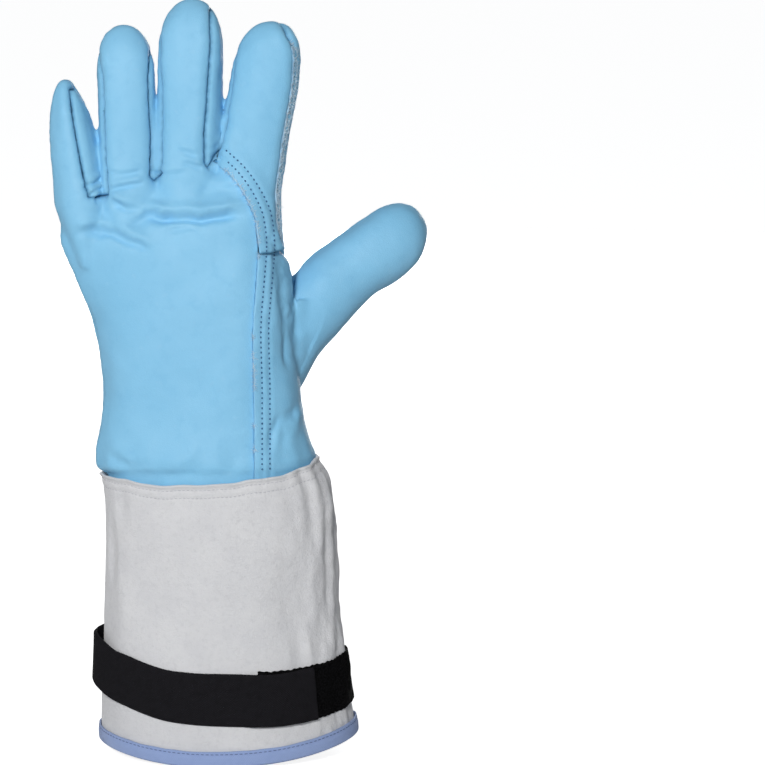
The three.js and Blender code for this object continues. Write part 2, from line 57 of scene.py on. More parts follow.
shot = {
    "target": (77.75, 0, 182),  # millimetres
    "distance": 2000,
    "height": 8,  # degrees above level
    "lens": 188.2,
}
studio = {
    "skyLight": 0.17, "skyColour": (0.93, 0.96, 1),
    "floorColour": (0.72, 0.72, 0.72), "floorGlow": 0.86, "floorSize": 30,
    "lamps": [  # name, place in metres, size, power, colour
        ("keyLamp", (-0.45, -2.5, 1.2), 0.6, 54, (1, 0.985, 0.965)),
        ("sideLamp", (-2.2, -0.7, 0.5), 1.0, 1.6, (0.95, 0.97, 1)),
        ("backLamp", (0.5, 2.5, 0.5), 1.2, 34, (1, 0.99, 0.975)),
    ],
}


def addNode(tree, kind, inputs={}, **settings):
    made = tree.nodes.new(kind)
    for key, value in settings.items():
        setattr(made, key, value)
    for key, value in inputs.items():
        if isinstance(value, bpy.types.NodeSocket):
            tree.links.new(value, made.inputs[key])
        else:
            made.inputs[key].default_value = value
    return made


def setValues(node, values):
    for label, value in values.items():
        node.inputs[label].default_value = value


def addCamera():
    height = math.radians(shot["height"])
    away = Vector((0, -math.cos(height), math.sin(height)))
    data = bpy.data.cameras.new("camera")
    data.sensor_width = 36
    data.lens = shot["lens"]
    data.clip_end = 60
    camera = bpy.data.objects.new("camera", data)
    camera.location = (Vector(shot["target"]) + away * shot["distance"]) * mm
    camera.rotation_euler = away.to_track_quat("Z", "Y").to_euler()
    scene.collection.objects.link(camera)
    scene.camera = camera


def addStudio():
    world = bpy.data.worlds.new("studio")
    world.use_nodes = True
    tree = world.node_tree
    sky = tree.nodes["Background"]
    sky.inputs["Color"].default_value = (*studio["skyColour"], 1)
    seen = addNode(tree, "ShaderNodeLightPath").outputs["Is Camera Ray"]
    power = addNode(tree, "ShaderNodeMapRange", {"Value": seen, "To Min": studio["skyLight"]})
    tree.links.new(power.outputs["Result"], sky.inputs["Strength"])  # a white room that lights softly
    scene.world = world
    scene.view_settings.view_transform = "Standard"
    for name, place, size, power, colour in studio["lamps"]:
        lamp = bpy.data.lights.new(name, "AREA")
        lamp.shape = "DISK"
        lamp.size = size
        lamp.energy = power
        lamp.color = colour
        holder = bpy.data.objects.new(name, lamp)
        holder.location = place
        aim = Vector(place) - Vector((0.02, 0, 0.2))
        holder.rotation_euler = aim.to_track_quat("Z", "Y").to_euler()
        scene.collection.objects.link(holder)
    half = studio["floorSize"] / 2
    level = cadBox[0].z - 0.0006
    mesh = bpy.data.meshes.new("floor")
    corners = [(-half, -half, level), (half, -half, level), (half, half, level), (-half, half, level)]
    mesh.from_pydata(corners, [], [(0, 1, 2, 3)])
    floor = bpy.data.objects.new("floor", mesh)
    paint = bpy.data.materials.new("floorPaper")
    paint.use_nodes = True
    tree = paint.node_tree
    shader = tree.nodes["Principled BSDF"]
    setValues(shader, {
        "Base Color": (*studio["floorColour"], 1), "Roughness": 0.9, "Specular IOR Level": 0.1,
        "Emission Color": (1, 1, 1, 1)})
    seen = addNode(tree, "ShaderNodeLightPath").outputs["Is Camera Ray"]
    glow = addNode(tree, "ShaderNodeMath", {0: seen, 1: studio["floorGlow"]}, operation="MULTIPLY")
    tree.links.new(glow.outputs[0], shader.inputs["Emission Strength"])
    mesh.materials.append(paint)
    scene.collection.objects.link(floor)


addCamera()
addStudio()
print("camera and studio are set")


def easeTo(low, high, value):
    share = np.clip((value - low) / (high - low), 0, 1)
    return share * share * (3 - 2 * share)


def bump(distance, reach):
    return np.exp(-(distance / reach) ** 2)


# A smooth line through the rows of a table, without overshoot between them.
def through(places, values, wanted):
    places, values = np.asarray(places, float), np.asarray(values, float)
    wanted = np.asarray(wanted, float)
    step = np.diff(places)
    rise = np.diff(values) / step
    tangent = np.zeros(len(values))
    tangent[0], tangent[-1] = rise[0], rise[-1]
    before, after = rise[:-1], rise[1:]
    same = before * after > 0
    near, far = 2 * step[1:] + step[:-1], step[1:] + 2 * step[:-1]
    with np.errstate(divide="ignore", invalid="ignore"):
        mean = (near + far) / (near / before + far / after)
    tangent[1:-1] = np.where(same, mean, 0)
    row = np.clip(np.searchsorted(places, wanted) - 1, 0, len(step) - 1)
    t = np.clip((wanted - places[row]) / step[row], 0, 1)
    start, end = values[row], values[row + 1]
    lift = (t ** 3 - 2 * t ** 2 + t) * tangent[row] + (t ** 3 - t ** 2) * tangent[row + 1]
    return start + (3 * t ** 2 - 2 * t ** 3) * (end - start) + lift * step[row]


# Cosine and sine of an angle, pushed out to a rounded square.
def squareTurn(angle, squareness):
    c, s = np.cos(angle), np.sin(angle)
    power = 2 / squareness
    return np.sign(c) * np.abs(c) ** power, np.sign(s) * np.abs(s) ** power


# Sections of equally many points, joined into a closed skin.
def loft(sections, ring=False):
    rows, count = sections.shape[:2]
    here = np.arange(rows * count).reshape(rows, count)
    beside = np.roll(here, -1, axis=1)
    quads = np.stack([here, beside, np.roll(beside, -1, axis=0), np.roll(here, -1, axis=0)], -1)
    faces = quads[: rows if ring else rows - 1].reshape(-1, 4).tolist()
    if not ring:
        faces += [here[0][::-1].tolist(), here[-1].tolist()]
    points = sections.reshape(-1, 3)
    corner = np.array([f[:3] for f in faces[: rows * count - count]])
    a, b, c = points[corner[:, 0]], points[corner[:, 1]], points[corner[:, 2]]
    middle = points.mean(axis=0)
    if np.einsum("ij,ij->", a - middle, np.cross(b - middle, c - middle)) < 0:
        faces = [f[::-1] for f in faces]
    return points, faces


def makeObject(name, points, faces):
    mesh = bpy.data.meshes.new(name)
    mesh.from_pydata((np.asarray(points) * mm).tolist(), [], faces)
    mesh.shade_smooth()
    made = bpy.data.objects.new(name, mesh)
    scene.collection.objects.link(made)
    return made


def meshArrays(mesh):
    points = np.empty(len(mesh.vertices) * 3)
    mesh.vertices.foreach_get("co", points)
    edges = np.empty(len(mesh.edges) * 2, np.int32)
    mesh.edges.foreach_get("vertices", edges)
    faces = [tuple(face.vertices) for face in mesh.polygons]
    return points.reshape(-1, 3) / mm, faces, edges.reshape(-1, 2)


# Closed skins melted into one, with even faces, then rubbed smooth.
def melt(skins, voxel, passes):
    points, faces, base = [], [], 0
    for some, around in skins:
        points.append(some)
        faces += [[i + base for i in face] for face in around]
        base += len(some)
    rough = makeObject("roughSkin", np.concatenate(points), faces)
    change = rough.modifiers.new("voxels", "REMESH")
    change.mode = "VOXEL"
    change.voxel_size = voxel * mm
    done = rough.evaluated_get(bpy.context.evaluated_depsgraph_get()).to_mesh()
    points, faces, edges = meshArrays(done)
    bpy.data.objects.remove(rough)
    a, b = edges[:, 0], edges[:, 1]
    share = np.bincount(np.concatenate([a, b]), minlength=len(points))[:, None]
    for _ in range(passes):
        total = np.empty_like(points)
        for k in range(3):
            pull = np.concatenate([points[b, k], points[a, k]])
            total[:, k] = np.bincount(np.concatenate([a, b]), pull, len(points))
        points = points + 0.5 * (total / share - points)
    return points, faces


def normalsOf(points, faces):
    total = np.zeros_like(points)
    for count in (3, 4, 5, 6):
        some = np.array([f for f in faces if len(f) == count])
        if not len(some):
            continue
        first, second, third, last = (points[some[:, k]] for k in (0, 1, 2, -1))
        turn = np.cross(third - first, last - second)
        if count == 3:
            turn = np.cross(second - first, third - first)
        for column in range(count):
            for k in range(3):
                total[:, k] += np.bincount(some[:, column], turn[:, k], len(points))
    return total / np.maximum(np.linalg.norm(total, axis=1), 1e-9)[:, None]


# Soft unevenness, one value for each point.
def waves(points, size, seed):
    shift = Vector((seed * 7.3, seed * 3.1, seed * 5.7))
    return np.array([noise.noise(Vector(p) / size + shift) for p in points.tolist()])


# How far points are to the right of a line in X and Z that runs downwards.
def rightOf(line, x, z):
    line = np.asarray(line, float)
    best = np.full(len(x), 1e9)
    side = np.zeros(len(x))
    for (ax, az), (bx, bz) in zip(line[:-1], line[1:]):
        dx, dz = bx - ax, bz - az
        length = math.hypot(dx, dz)
        t = np.clip(((x - ax) * dx + (z - az) * dz) / length ** 2, 0, 1)
        away = np.hypot(x - ax - t * dx, z - az - t * dz)
        cross = (dx * (z - az) - dz * (x - ax)) / length
        nearer = (away < best - 1e-6) | ((away < best + 1e-6) & (np.abs(cross) > np.abs(side)))
        best = np.where(nearer, away, best)
        side = np.where(nearer, cross, side)
    return np.sign(side) * best


# Hand: sizes in millimetres, places as shares of the palm's width and of the hand's length.
hand = {
    "cuffLength": 141, "length": 233.5, "palmWidth": 108, "palmDepth": 50,
    "curl": 9, "curlPower": 1.6, "knuckleSlope": 0.245, "knuckleMiddle": -0.31,
    "tuck": 20, "wristUp": 0.1, "squareness": 2.3,
    "voxel": 1.15, "rubbing": 7, "leather": 2.4,
}
# up, then the reach to the little finger's side, thumb side, back and palm, then the tilt
palmRows = np.array([
    (0.012, 0.6, 0.402, 0.55, 0.55, 0), (0.045, 0.596, 0.372, 0.53, 0.56, 0),
    (0.106, 0.579, 0.347, 0.51, 0.56, 0), (0.168, 0.577, 0.338, 0.5, 0.55, 0),
    (0.24, 0.592, 0.328, 0.495, 0.53, 0), (0.307, 0.618, 0.31, 0.49, 0.51, 0.1),
    (0.373, 0.665, 0.285, 0.475, 0.49, 0.3), (0.435, 0.705, 0.26, 0.455, 0.47, 0.55),
    (0.497, 0.745, 0.25, 0.42, 0.43, 0.8), (0.548, 0.765, 0.25, 0.33, 0.36, 1),
    (0.589, 0.74, 0.22, 0.24, 0.27, 1),
])
fingers = {
    "little": {"root": (-0.665, 0.559), "length": 62.5, "width": 24.5, "depth": 25.5, "lean": -7.5},
    "ring": {"root": (-0.432, 0.579), "length": 83, "width": 28.5, "depth": 28.5, "lean": -3.2},
    "middle": {"root": (-0.175, 0.6), "length": 91.5, "width": 31.5, "depth": 30, "lean": 1.8},
    "index": {"root": (0.087, 0.589), "length": 84.5, "width": 33.5, "depth": 30, "lean": 10.4},
}
# along, width and depth, as shares of the finger's own
roundFinger = np.array([
    (-0.5, 0.88, 1.2), (-0.2, 0.98, 1.2), (0.05, 1.02, 1.1), (0.3, 1, 1.02), (0.6, 0.98, 0.97),
    (0.78, 0.94, 0.9), (0.88, 0.82, 0.78), (0.95, 0.6, 0.58), (0.985, 0.36, 0.36), (1, 0.14, 0.14),
])
slimFinger = np.array([
    (-0.5, 0.5, 1.1), (-0.2, 0.8, 1.1), (0.05, 0.98, 1.06), (0.36, 0.98, 1), (0.58, 0.92, 0.97),
    (0.7, 0.82, 0.9), (0.82, 0.64, 0.78), (0.92, 0.44, 0.58), (0.98, 0.24, 0.36), (1, 0.08, 0.12),
])
thumb = {
    "root": (0.074, 0.2, 0.101), "length": 133.5, "width": 39, "depth": 36,
    "rise": 45, "forward": 11, "bend": 13.5,
}
# along, bow towards the fingers, width and depth
thumbRows = np.array([
    (0, 0, 0.86, 0.8), (0.2, 0.6, 0.96, 1), (0.42, 0.97, 0.95, 1.05), (0.57, 1, 0.93, 1),
    (0.69, 0.9, 0.9, 0.95), (0.79, 0.66, 0.93, 0.94), (0.88, 0.52, 0.87, 0.86),
    (0.94, 0.38, 0.72, 0.7), (0.98, 0.22, 0.46, 0.46), (1, 0.12, 0.16, 0.18),
])


def upHand(share):
    return hand["cuffLength"] + share * hand["length"]


handTop, knuckleHeight = upHand(1), upHand(0.5)


def onHand(shares):
    return [(x * hand["palmWidth"], upHand(up)) for x, up in shares]


def middleY(z):
    share = np.maximum(0, (z - knuckleHeight) / (handTop - knuckleHeight))
    return hand["curl"] * share ** hand["curlPower"]


def onFinger(finger, along):
    (x, z), = onHand([finger["root"]])
    lean = math.radians(finger["lean"])
    way = along * finger["length"]
    up = z + way * math.cos(lean)
    return np.array([x + way * math.sin(lean), float(middleY(up)), up])


thumbRoot = np.array([
    thumb["root"][0] * hand["palmWidth"], thumb["root"][1] * hand["palmDepth"],
    upHand(thumb["root"][2]),
])
rise, forward = math.radians(thumb["rise"]), math.radians(thumb["forward"])
thumbWay = np.array([
    math.cos(forward) * math.cos(rise), math.sin(forward), math.cos(forward) * math.sin(rise),
])
thumbUp = np.array([-thumbWay[2], 0, thumbWay[0]]) / math.hypot(thumbWay[2], thumbWay[0])


def onThumb(along):
    bow = float(through(thumbRows[:, 0], thumbRows[:, 1], along)) * thumb["bend"]
    return thumbRoot + thumbWay * along * thumb["length"] + thumbUp * bow


def tubeSkin(axis, rows, width, depth, count=56, sides=56):
    ends = rows[0, 0], rows[-1, 0]
    turns = np.linspace(0, 2 * math.pi, sides, endpoint=False)
    c, s = squareTurn(turns, hand["squareness"])
    steps = np.sin(np.linspace(0, math.pi / 2, count))  # closer together at the tip
    places = ends[0] + (ends[1] - ends[0]) * steps
    sections = []
    for along in places:
        ahead = axis(min(along + 0.03, ends[1])) - axis(max(along - 0.03, ends[0]))
        ahead /= np.linalg.norm(ahead)
        across = np.cross((0, 1, 0), ahead)
        across /= np.linalg.norm(across)
        deep = np.cross(ahead, across)
        halfWide = through(rows[:, 0], rows[:, -2], along) * width / 2
        halfDeep = through(rows[:, 0], rows[:, -1], along) * depth / 2
        sections.append(axis(along) + np.outer(c * halfWide, across) + np.outer(s * halfDeep, deep))
    return loft(np.array(sections))


def palmSkin():
    turns = np.linspace(0, 2 * math.pi, 96, endpoint=False)
    slant = cuff["topSlant"] / cuff["hemWidth"]
    halves = (cuff["hemWidth"] / 2, cuff["hemWidth"] / 2, cuff["hemDepth"] / 2, cuff["hemDepth"] / 2)
    scale = (hand["palmWidth"], hand["palmWidth"], hand["palmDepth"], hand["palmDepth"])
    sections = []

    def section(z, reach, squareness, lean):
        c, s = squareTurn(turns, squareness)
        x = c * np.where(c > 0, reach[1], reach[0])
        y = s * np.where(s > 0, reach[3], reach[2])
        sections.append(np.stack([x, y, z + lean(x)], -1))

    tucked = []
    for k in range(4):
        inside = min(through(cuffRows[:, 0], cuffRows[:, k + 1], [0.86, 0.9, 0.95, 1])) * halves[k]
        tucked.append(min(inside - cuff["wall"] - 0.6, palmRows[0, k + 1] * scale[k]))
    for z in np.linspace(hand["cuffLength"] - hand["tuck"], hand["cuffLength"] + 0.4, 4):
        section(z, tucked, cuff["squareness"], lambda x: slant * x)
    for up in np.linspace(palmRows[0, 0], palmRows[-1, 0], 48):
        sizes = [through(palmRows[:, 0], palmRows[:, k], up) for k in range(1, 6)]
        reach = [size * whole for size, whole in zip(sizes, scale)]
        down = max(0, 1 - up / hand["wristUp"]) * slant
        slope = sizes[4] * hand["knuckleSlope"]
        middle = hand["knuckleMiddle"] * hand["palmWidth"]
        z = upHand(up)
        section(z, reach, hand["squareness"], lambda x: down * x + slope * (x - middle))
    return loft(np.array(sections))


# Cuff: sizes in millimetres. The rows give up, then the reach to the little finger's side,
# thumb side, back and palm, as shares of half the hem.
cuff = {
    "wall": 1.8, "hemWidth": 129, "hemDepth": 84, "hemSlant": 3, "hemDip": 8,
    "topSlant": 9, "topDip": 5.7, "topWave": 0.4, "squareness": 2.15,
}
cuffRows = np.array([
    (0, 1, 1, 1, 1), (0.12, 0.992, 0.96, 0.975, 0.975), (0.25, 0.985, 0.925, 0.94, 0.94),
    (0.5, 0.962, 0.865, 0.87, 0.87), (0.75, 0.95, 0.838, 0.8, 0.8),
    (0.9, 0.962, 0.8, 0.755, 0.76), (1, 0.99, 0.71, 0.72, 0.735),
])
# turn, up, width, height and depth of the soft hollows in the cuff's leather
cuffDents = [
    (128, 0.64, 26, 0.2, 1.8), (52, 0.56, 20, 0.22, 1.5), (160, 0.5, 16, 0.24, 1.2),
    (230, 0.55, 24, 0.2, 1.6), (300, 0.6, 22, 0.2, 1.3), (76, 0.86, 14, 0.1, 0.7),
    (112, 0.4, 18, 0.12, 0.6), (38, 0.86, 7, 0.26, 1.5), (24, 0.66, 7, 0.3, 1.1),
    (158, 0.72, 9, 0.16, 1.6), (146, 0.9, 8, 0.1, 1), (52, 0.3, 8, 0.16, 0.9), (8, 0.8, 8, 0.2, 1),
]


# Points of the cuff's outer face. turn is in degrees from the thumb side, over the back.
def onCuff(turn, up, off=0.0):
    turn, up, off = np.broadcast_arrays(*(np.asarray(v, float) for v in (turn, up, off)))
    angle = np.radians(turn)
    c, s = squareTurn(-angle, cuff["squareness"])
    ulnar, radial, back, palm = (through(cuffRows[:, 0], cuffRows[:, k], up) for k in range(1, 5))
    wide = np.where(c > 0, radial, ulnar) * cuff["hemWidth"] / 2
    deep = np.where(s > 0, palm, back) * cuff["hemDepth"] / 2
    x, y = c * wide, s * deep
    outX, outY = x / wide ** 2, y / deep ** 2
    size = np.hypot(outX, outY)
    outward = np.array(off)
    for dentTurn, dentUp, reach, tall, depth in cuffDents:
        turned = (turn - dentTurn + 180) % 360 - 180
        away = (turned / reach) ** 2 + ((up - dentUp) / tall) ** 2
        outward = outward - depth * np.maximum(0, 1 - away) ** 2
    dip = np.sin(angle) ** 2
    hem = x / cuff["hemWidth"] * cuff["hemSlant"] + (0.5 - dip) * cuff["hemDip"]
    top = hand["cuffLength"] + x / cuff["hemWidth"] * cuff["topSlant"]
    top = top - np.where(s < 0, dip * cuff["topDip"], 0)
    uneven = np.sin(5 * angle + 1) + 0.7 * np.sin(11 * angle) + 0.4 * np.sin(23 * angle + 2)
    top = top + cuff["topWave"] * uneven
    z = hem + (top - hem) * up
    return np.stack([x + outX / size * outward, y + outY / size * outward, z], -1)


# Seams of the hand, as shares, each from its top down or from the little finger's side on.
backLap = onHand([
    (-0.038, 0.652), (0.031, 0.624), (0.095, 0.583), (0.141, 0.534), (0.154, 0.477),
    (0.145, 0.417), (0.127, 0.293), (0.132, 0.171), (0.132, 0.047), (0.132, -0.12),
])
palmLap = onHand([
    (-0.075, 0.63), (-0.09, 0.598), (-0.186, 0.522), (-0.258, 0.462), (-0.3, 0.409),
    (-0.295, 0.33), (-0.242, 0.253), (-0.152, 0.198), (-0.045, 0.155), (0.02, 0.122),
    (0.052, 0.08), (0.07, 0.03), (0.075, -0.12),
])
thumbSeam = onHand([
    (0.87, 0.518), (0.898, 0.492), (0.88, 0.462), (0.824, 0.43), (0.755, 0.403), (0.616, 0.353),
    (0.472, 0.305), (0.33, 0.287), (0.2, 0.262), (0.115, 0.218), (0.08, 0.163),
    (0.084, 0.112), (0.1, 0.072), (0.13, 0.01), (0.14, -0.12),
])
fingerFoot = onHand([
    (-0.539, 0.618), (-0.511, 0.599), (-0.411, 0.606), (-0.297, 0.612), (-0.104, 0.606), (-0.069, 0.629),
])
indexFoot = upHand(0.463)
# the strips between the fingers: the two fingers, where the strip ends and how steeply its foot runs
# to a point, how far it shows on the second finger's back, and its seam down the first finger's back
forks = {
    "fork_little_ring": ("little", "ring", 0.577, 0.2, 8.5, [
        (-0.72, 0.9), (-0.711, 0.834), (-0.697, 0.755), (-0.674, 0.693), (-0.638, 0.603),
        (-0.612, 0.56)]),
    "fork_ring_middle": ("ring", "middle", 0.612, 1.8, 3.5, [
        (-0.37, 0.95), (-0.354, 0.894), (-0.347, 0.804), (-0.335, 0.714), (-0.335, 0.6)]),
    "fork_middle_index": ("middle", "index", 0.64, 1.8, 3, [
        (-0.09, 1.02), (-0.066, 0.97), (-0.06, 0.9), (-0.075, 0.782), (-0.09, 0.714), (-0.084, 0.63)]),
}


def gapLine(first, second):
    return [((onFinger(first, a) + onFinger(second, a)) / 2)[[0, 2]] for a in (1.6, 1, 0.6, 0.3)]


def axisX(finger, z):
    (x, up), = onHand([finger["root"]])
    return x + (z - up) * math.tan(math.radians(finger["lean"]))


def forkField(points, first, second, foot, slant, shown, seam):
    x, y, z = points.T
    left, right = axisX(first, z), axisX(second, z)
    t = np.clip((x - left) / (right - left), 0, 1)
    tops = onFinger(first, 1)[2], onFinger(second, 1)[2]
    tip = np.where(t < 0.5, tops[0], tops[1])
    narrowing = easeTo(tip - 3, tip - 26, z)
    off = y - middleY(z)
    onFirst = np.maximum(rightOf(onHand(seam), x, z), off + 0.5)
    onSecond = off + shown * narrowing - 1.5 * (1 - narrowing) + 25 * easeTo(0.6, 0.44, t)
    before = (4.5 * narrowing - 1.5 * (1 - narrowing)) - off
    (seamFoot, _), = onHand([seam[-1]])
    floor = upHand(foot) + slant * np.abs(x - seamFoot - 1.5)
    return np.min([onFirst, onSecond, before, x - left, right - x, z - floor, tip - 4 - z], axis=0)


thumbBack = np.cross(thumbWay, thumbUp)


# The seam between the back and the front of the glove: above 0 is the back.
def backField(points):
    x, y, z = points.T
    indexX = axisX(fingers["index"], z)
    behind = 8.2 * easeTo(0, 8, x - indexX) * easeTo(indexFoot - 12, indexFoot - 2, z)
    ofHand = -(y - middleY(z)) - behind
    ofThumb = (points - thumbRoot) @ thumbBack + 3
    up = (z - hand["cuffLength"]) / hand["length"]
    edge = through(palmRows[:, 0], palmRows[:, 2], up) * hand["palmWidth"]
    besideIndex = np.maximum(easeTo(indexFoot + 10, indexFoot - 8, z), x > 40)
    share = easeTo(-3, 7, x - edge) * besideIndex * (x > 0)
    return np.maximum(ofHand * (1 - share) + ofThumb * share, rightOf(thumbSeam, x, z))


def cutAlong(points, faces, field, snap=0.1):
    value = field(points)
    value[np.abs(value) < snap] = 0
    value = value.tolist()
    crossings, extra, above, below = {}, [], [], []
    for face in faces:
        worth = [value[i] for i in face]
        low, high = min(worth), max(worth)
        if low >= 0 and high > 0:
            above.append(face)
        elif high <= 0:
            below.append(face)
        else:
            over, under = [], []
            for k, i in enumerate(face):
                j = face[(k + 1) % len(face)]
                if value[i] >= 0:
                    over.append(i)
                if value[i] <= 0:
                    under.append(i)
                if value[i] * value[j] < 0:
                    key = (i, j) if i < j else (j, i)
                    if key not in crossings:
                        t = value[i] / (value[i] - value[j])
                        crossings[key] = len(points) + len(extra)
                        extra.append(points[i] + (points[j] - points[i]) * t)
                    over.append(crossings[key])
                    under.append(crossings[key])
            above.append(tuple(over))
            below.append(tuple(under))
    if extra:
        points = np.vstack([points, extra])
    return points, [f for f in above if len(f) > 2], [f for f in below if len(f) > 2]


def cutHand(points, faces):
    panels = {}
    for name, (first, second, *strip) in forks.items():
        points, panels[name], faces = cutAlong(
            points, faces, lambda p: forkField(p, fingers[first], fingers[second], *strip))
    points, back, front = cutAlong(points, faces, backField)
    indexGap = gapLine(fingers["middle"], fingers["index"])

    def backSide(p):
        side = rightOf([*indexGap, *backLap], p[:, 0], p[:, 2])
        return np.where(p[:, 1] - middleY(p[:, 2]) > 3, 20, side)

    points, right, panels["back_panel"] = cutAlong(points, back, backSide)
    points, panels["index_panel"], panels["thumb_back"] = cutAlong(
        points, right, lambda p: np.minimum(p[:, 2] - indexFoot, 42 - p[:, 0]))
    points, panels["thenar_panel"], left = cutAlong(
        points, front, lambda p: rightOf([*indexGap, *palmLap], p[:, 0], p[:, 2]))
    footLine = [*gapLine(fingers["little"], fingers["ring"]), *fingerFoot]
    points, fronts, panels["palm_panel"] = cutAlong(
        points, left, lambda p: rightOf(footLine, p[:, 0], p[:, 2]))
    ringGap = [*gapLine(fingers["ring"], fingers["middle"]), *onHand([(-0.297, 0.55)])]
    points, panels["middle_front"], panels["ring_front"] = cutAlong(
        points, fronts, lambda p: rightOf(ringGap, p[:, 0], p[:, 2]))
    return points, panels


tubes = [palmSkin()]
for name, finger in fingers.items():
    rows = slimFinger if name == "little" else roundFinger
    tubes.append(tubeSkin(lambda a, f=finger: onFinger(f, a), rows, finger["width"], finger["depth"]))
tubes.append(tubeSkin(onThumb, thumbRows, thumb["width"], thumb["depth"], sides=64))
handPoints, handFaces = melt(tubes, hand["voxel"], hand["rubbing"])
mouth = hand["cuffLength"] - hand["tuck"] + 3  # the hand is open inside the cuff
slope = cuff["topSlant"] / cuff["hemWidth"]
handPoints, handFaces, _ = cutAlong(handPoints, handFaces, lambda p: p[:, 2] - mouth - slope * p[:, 0])
handPoints, panels = cutHand(handPoints, handFaces)
print("hand skin:", len(handPoints), "points,", {name: len(faces) for name, faces in panels.items()})


# Relief of the leather: seams pulled in, the padding full beside them, creases and hollows.
relief = {
    "groove": 1.5, "grooveReach": 1.05, "puff": 0.7, "puffAway": 4.5, "puffReach": 3.4,
    "lapRise": 1.5, "lapReach": 16, "channel": 0.45, "underLap": 0.3,
    "pucker": 0.32, "seamGather": 7, "lapGather": 10,
    "wristFrom": 165, "wristFull": 144, "wristPad": 0.9, "wristFolds": 1.3,
    "foldRise": 1.5, "foldSink": 1.2,  # at the folded lower edge of the index finger's leather
    "swell": ((42, 1, 1.5), (17, 2, 0.7), (6.5, 4, 0.16)),  # size, seed and height of soft waves
}
seamRows = (3.9, 7.7)  # how far the two rows of stitches lie from the lapped edge
lapPairs = [
    ("back_panel", "index_panel"), ("back_panel", "thumb_back"), ("palm_panel", "thenar_panel"),
]
lapOver = {"index_panel", "thumb_back", "thenar_panel"}
# line in shares, depth, reach in millimetres, and whether it shows on the back
creases = [
    ([(-0.44, 0.53), (-0.35, 0.543), (-0.25, 0.541), (-0.12, 0.539), (0, 0.545), (0.1, 0.55)],
     3.0, 2.3, True),
    ([(-0.52, 0.572), (-0.46, 0.562), (-0.37, 0.557)], 1.7, 1.8, True),
    ([(-0.7, 0.506), (-0.6, 0.51), (-0.51, 0.507), (-0.42, 0.487), (-0.32, 0.47)], 2.2, 2.2, True),
    ([(-0.53, 0.598), (-0.45, 0.604), (-0.37, 0.615)], 1.1, 1.2, True),
    ([(-0.54, 0.63), (-0.46, 0.634), (-0.38, 0.633)], 0.8, 1.2, True),
    ([(-0.35, 0.632), (-0.27, 0.628), (-0.17, 0.634)], 1.0, 1.3, True),
    ([(-0.22, 0.682), (-0.18, 0.678), (-0.13, 0.668)], 0.8, 1.2, True),
    ([(-0.2, 0.652), (-0.15, 0.65), (-0.1, 0.644)], 1.0, 1.2, True),
    ([(-0.12, 0.594), (-0.02, 0.598), (0.05, 0.59)], 0.8, 2.2, True),
    ([(-0.26, 0.516), (-0.16, 0.519), (-0.1, 0.512)], 0.9, 1.4, True),
    ([(-0.645, 0.597), (-0.6, 0.61), (-0.56, 0.618)], 1.9, 1.2, True),
    ([(-0.63, 0.58), (-0.59, 0.594), (-0.555, 0.599)], 1.8, 1.1, True),
    ([(-0.6, 0.566), (-0.57, 0.58), (-0.54, 0.583)], 1.6, 1.1, True),
    ([(0.27, 0.12), (0.232, 0.08), (0.2, 0.03)], 1.1, 2.4, True),
    ([(0.33, 0.135), (0.29, 0.1), (0.26, 0.04)], 1.0, 2.2, True),
    ([(-0.29, -0.01), (-0.2, 0.012), (-0.093, 0.022)], 0.8, 3, True),
    ([(-0.54, 0.03), (-0.44, 0.012), (-0.34, 0.016)], 0.9, 3, True),
    ([(0.61, 0.372), (0.555, 0.331), (0.49, 0.298)], 1.7, 3.4, True),
    ([(0.25, 0.46), (0.266, 0.408), (0.284, 0.344), (0.305, 0.278), (0.315, 0.21)], 2.2, 2.6, True),
    ([(0.2, 0.5), (0.23, 0.47), (0.27, 0.455)], 1.2, 2, True),
    ([(0.16, 0.36), (0.2, 0.33), (0.24, 0.318)], 0.6, 3.5, True),
    ([(0.13, 0.45), (0.05, 0.412), (0.012, 0.35), (0.02, 0.28)], 2.0, 3.6, False),
    ([(0.07, 0.632), (0.13, 0.628), (0.2, 0.634)], 1.3, 2.4, False),
    ([(-0.01, 0.603), (0.05, 0.59), (0.1, 0.584)], 1.1, 2.2, False),
    ([(0.1, 0.566), (0.16, 0.563), (0.22, 0.57)], 1.2, 2.2, False),
    ([(0.12, 0.23), (0.17, 0.19), (0.2, 0.14), (0.2, 0.09)], 1.4, 3, False),
    ([(0.17, 0.25), (0.23, 0.2), (0.27, 0.14)], 1.2, 2.6, False),
    ([(0.1, 0.13), (0.13, 0.08), (0.15, 0.03)], 1.1, 2.4, False),
    ([(-0.5, 0.06), (-0.36, 0.04), (-0.2, 0.05)], 0.8, 3.6, False),
    ([(-0.66, 0.5), (-0.5, 0.487), (-0.34, 0.496)], 1.1, 3.4, False),
    ([(-0.62, 0.38), (-0.5, 0.36), (-0.4, 0.37)], 0.6, 4, False),
]
# place in shares, reach across and along, depth, and whether it shows on the back
hollows = [
    ((-0.6, 0.3), 9, 20, 1.3, True), ((-0.57, 0.16), 8, 16, 1.1, True), ((-0.2, 0.2), 26, 34, 0.9, True),
    ((0.2, 0.16), 6, 20, 0.9, True), ((0.35, 0.26), 9, 12, 1.2, True), ((0.62, 0.44), 14, 7, 0.9, True),
    ((-0.12, 0.36), 24, 30, 1.8, False), ((-0.45, 0.3), 14, 26, 0.9, False),
    ((0.3, 0.4), 8, 12, 1.4, False),
]


def offsetLine(line, away, spacing=1.5):
    line = np.asarray(line, float)
    steps = np.concatenate([[0], np.cumsum(np.hypot(*np.diff(line, axis=0).T))])
    places = np.arange(0, steps[-1], spacing)
    x, z = through(steps, line[:, 0], places), through(steps, line[:, 1], places)
    dx, dz = np.gradient(x), np.gradient(z)
    size = np.hypot(dx, dz)
    return np.stack([x - dz / size * away, z + dx / size * away], -1)


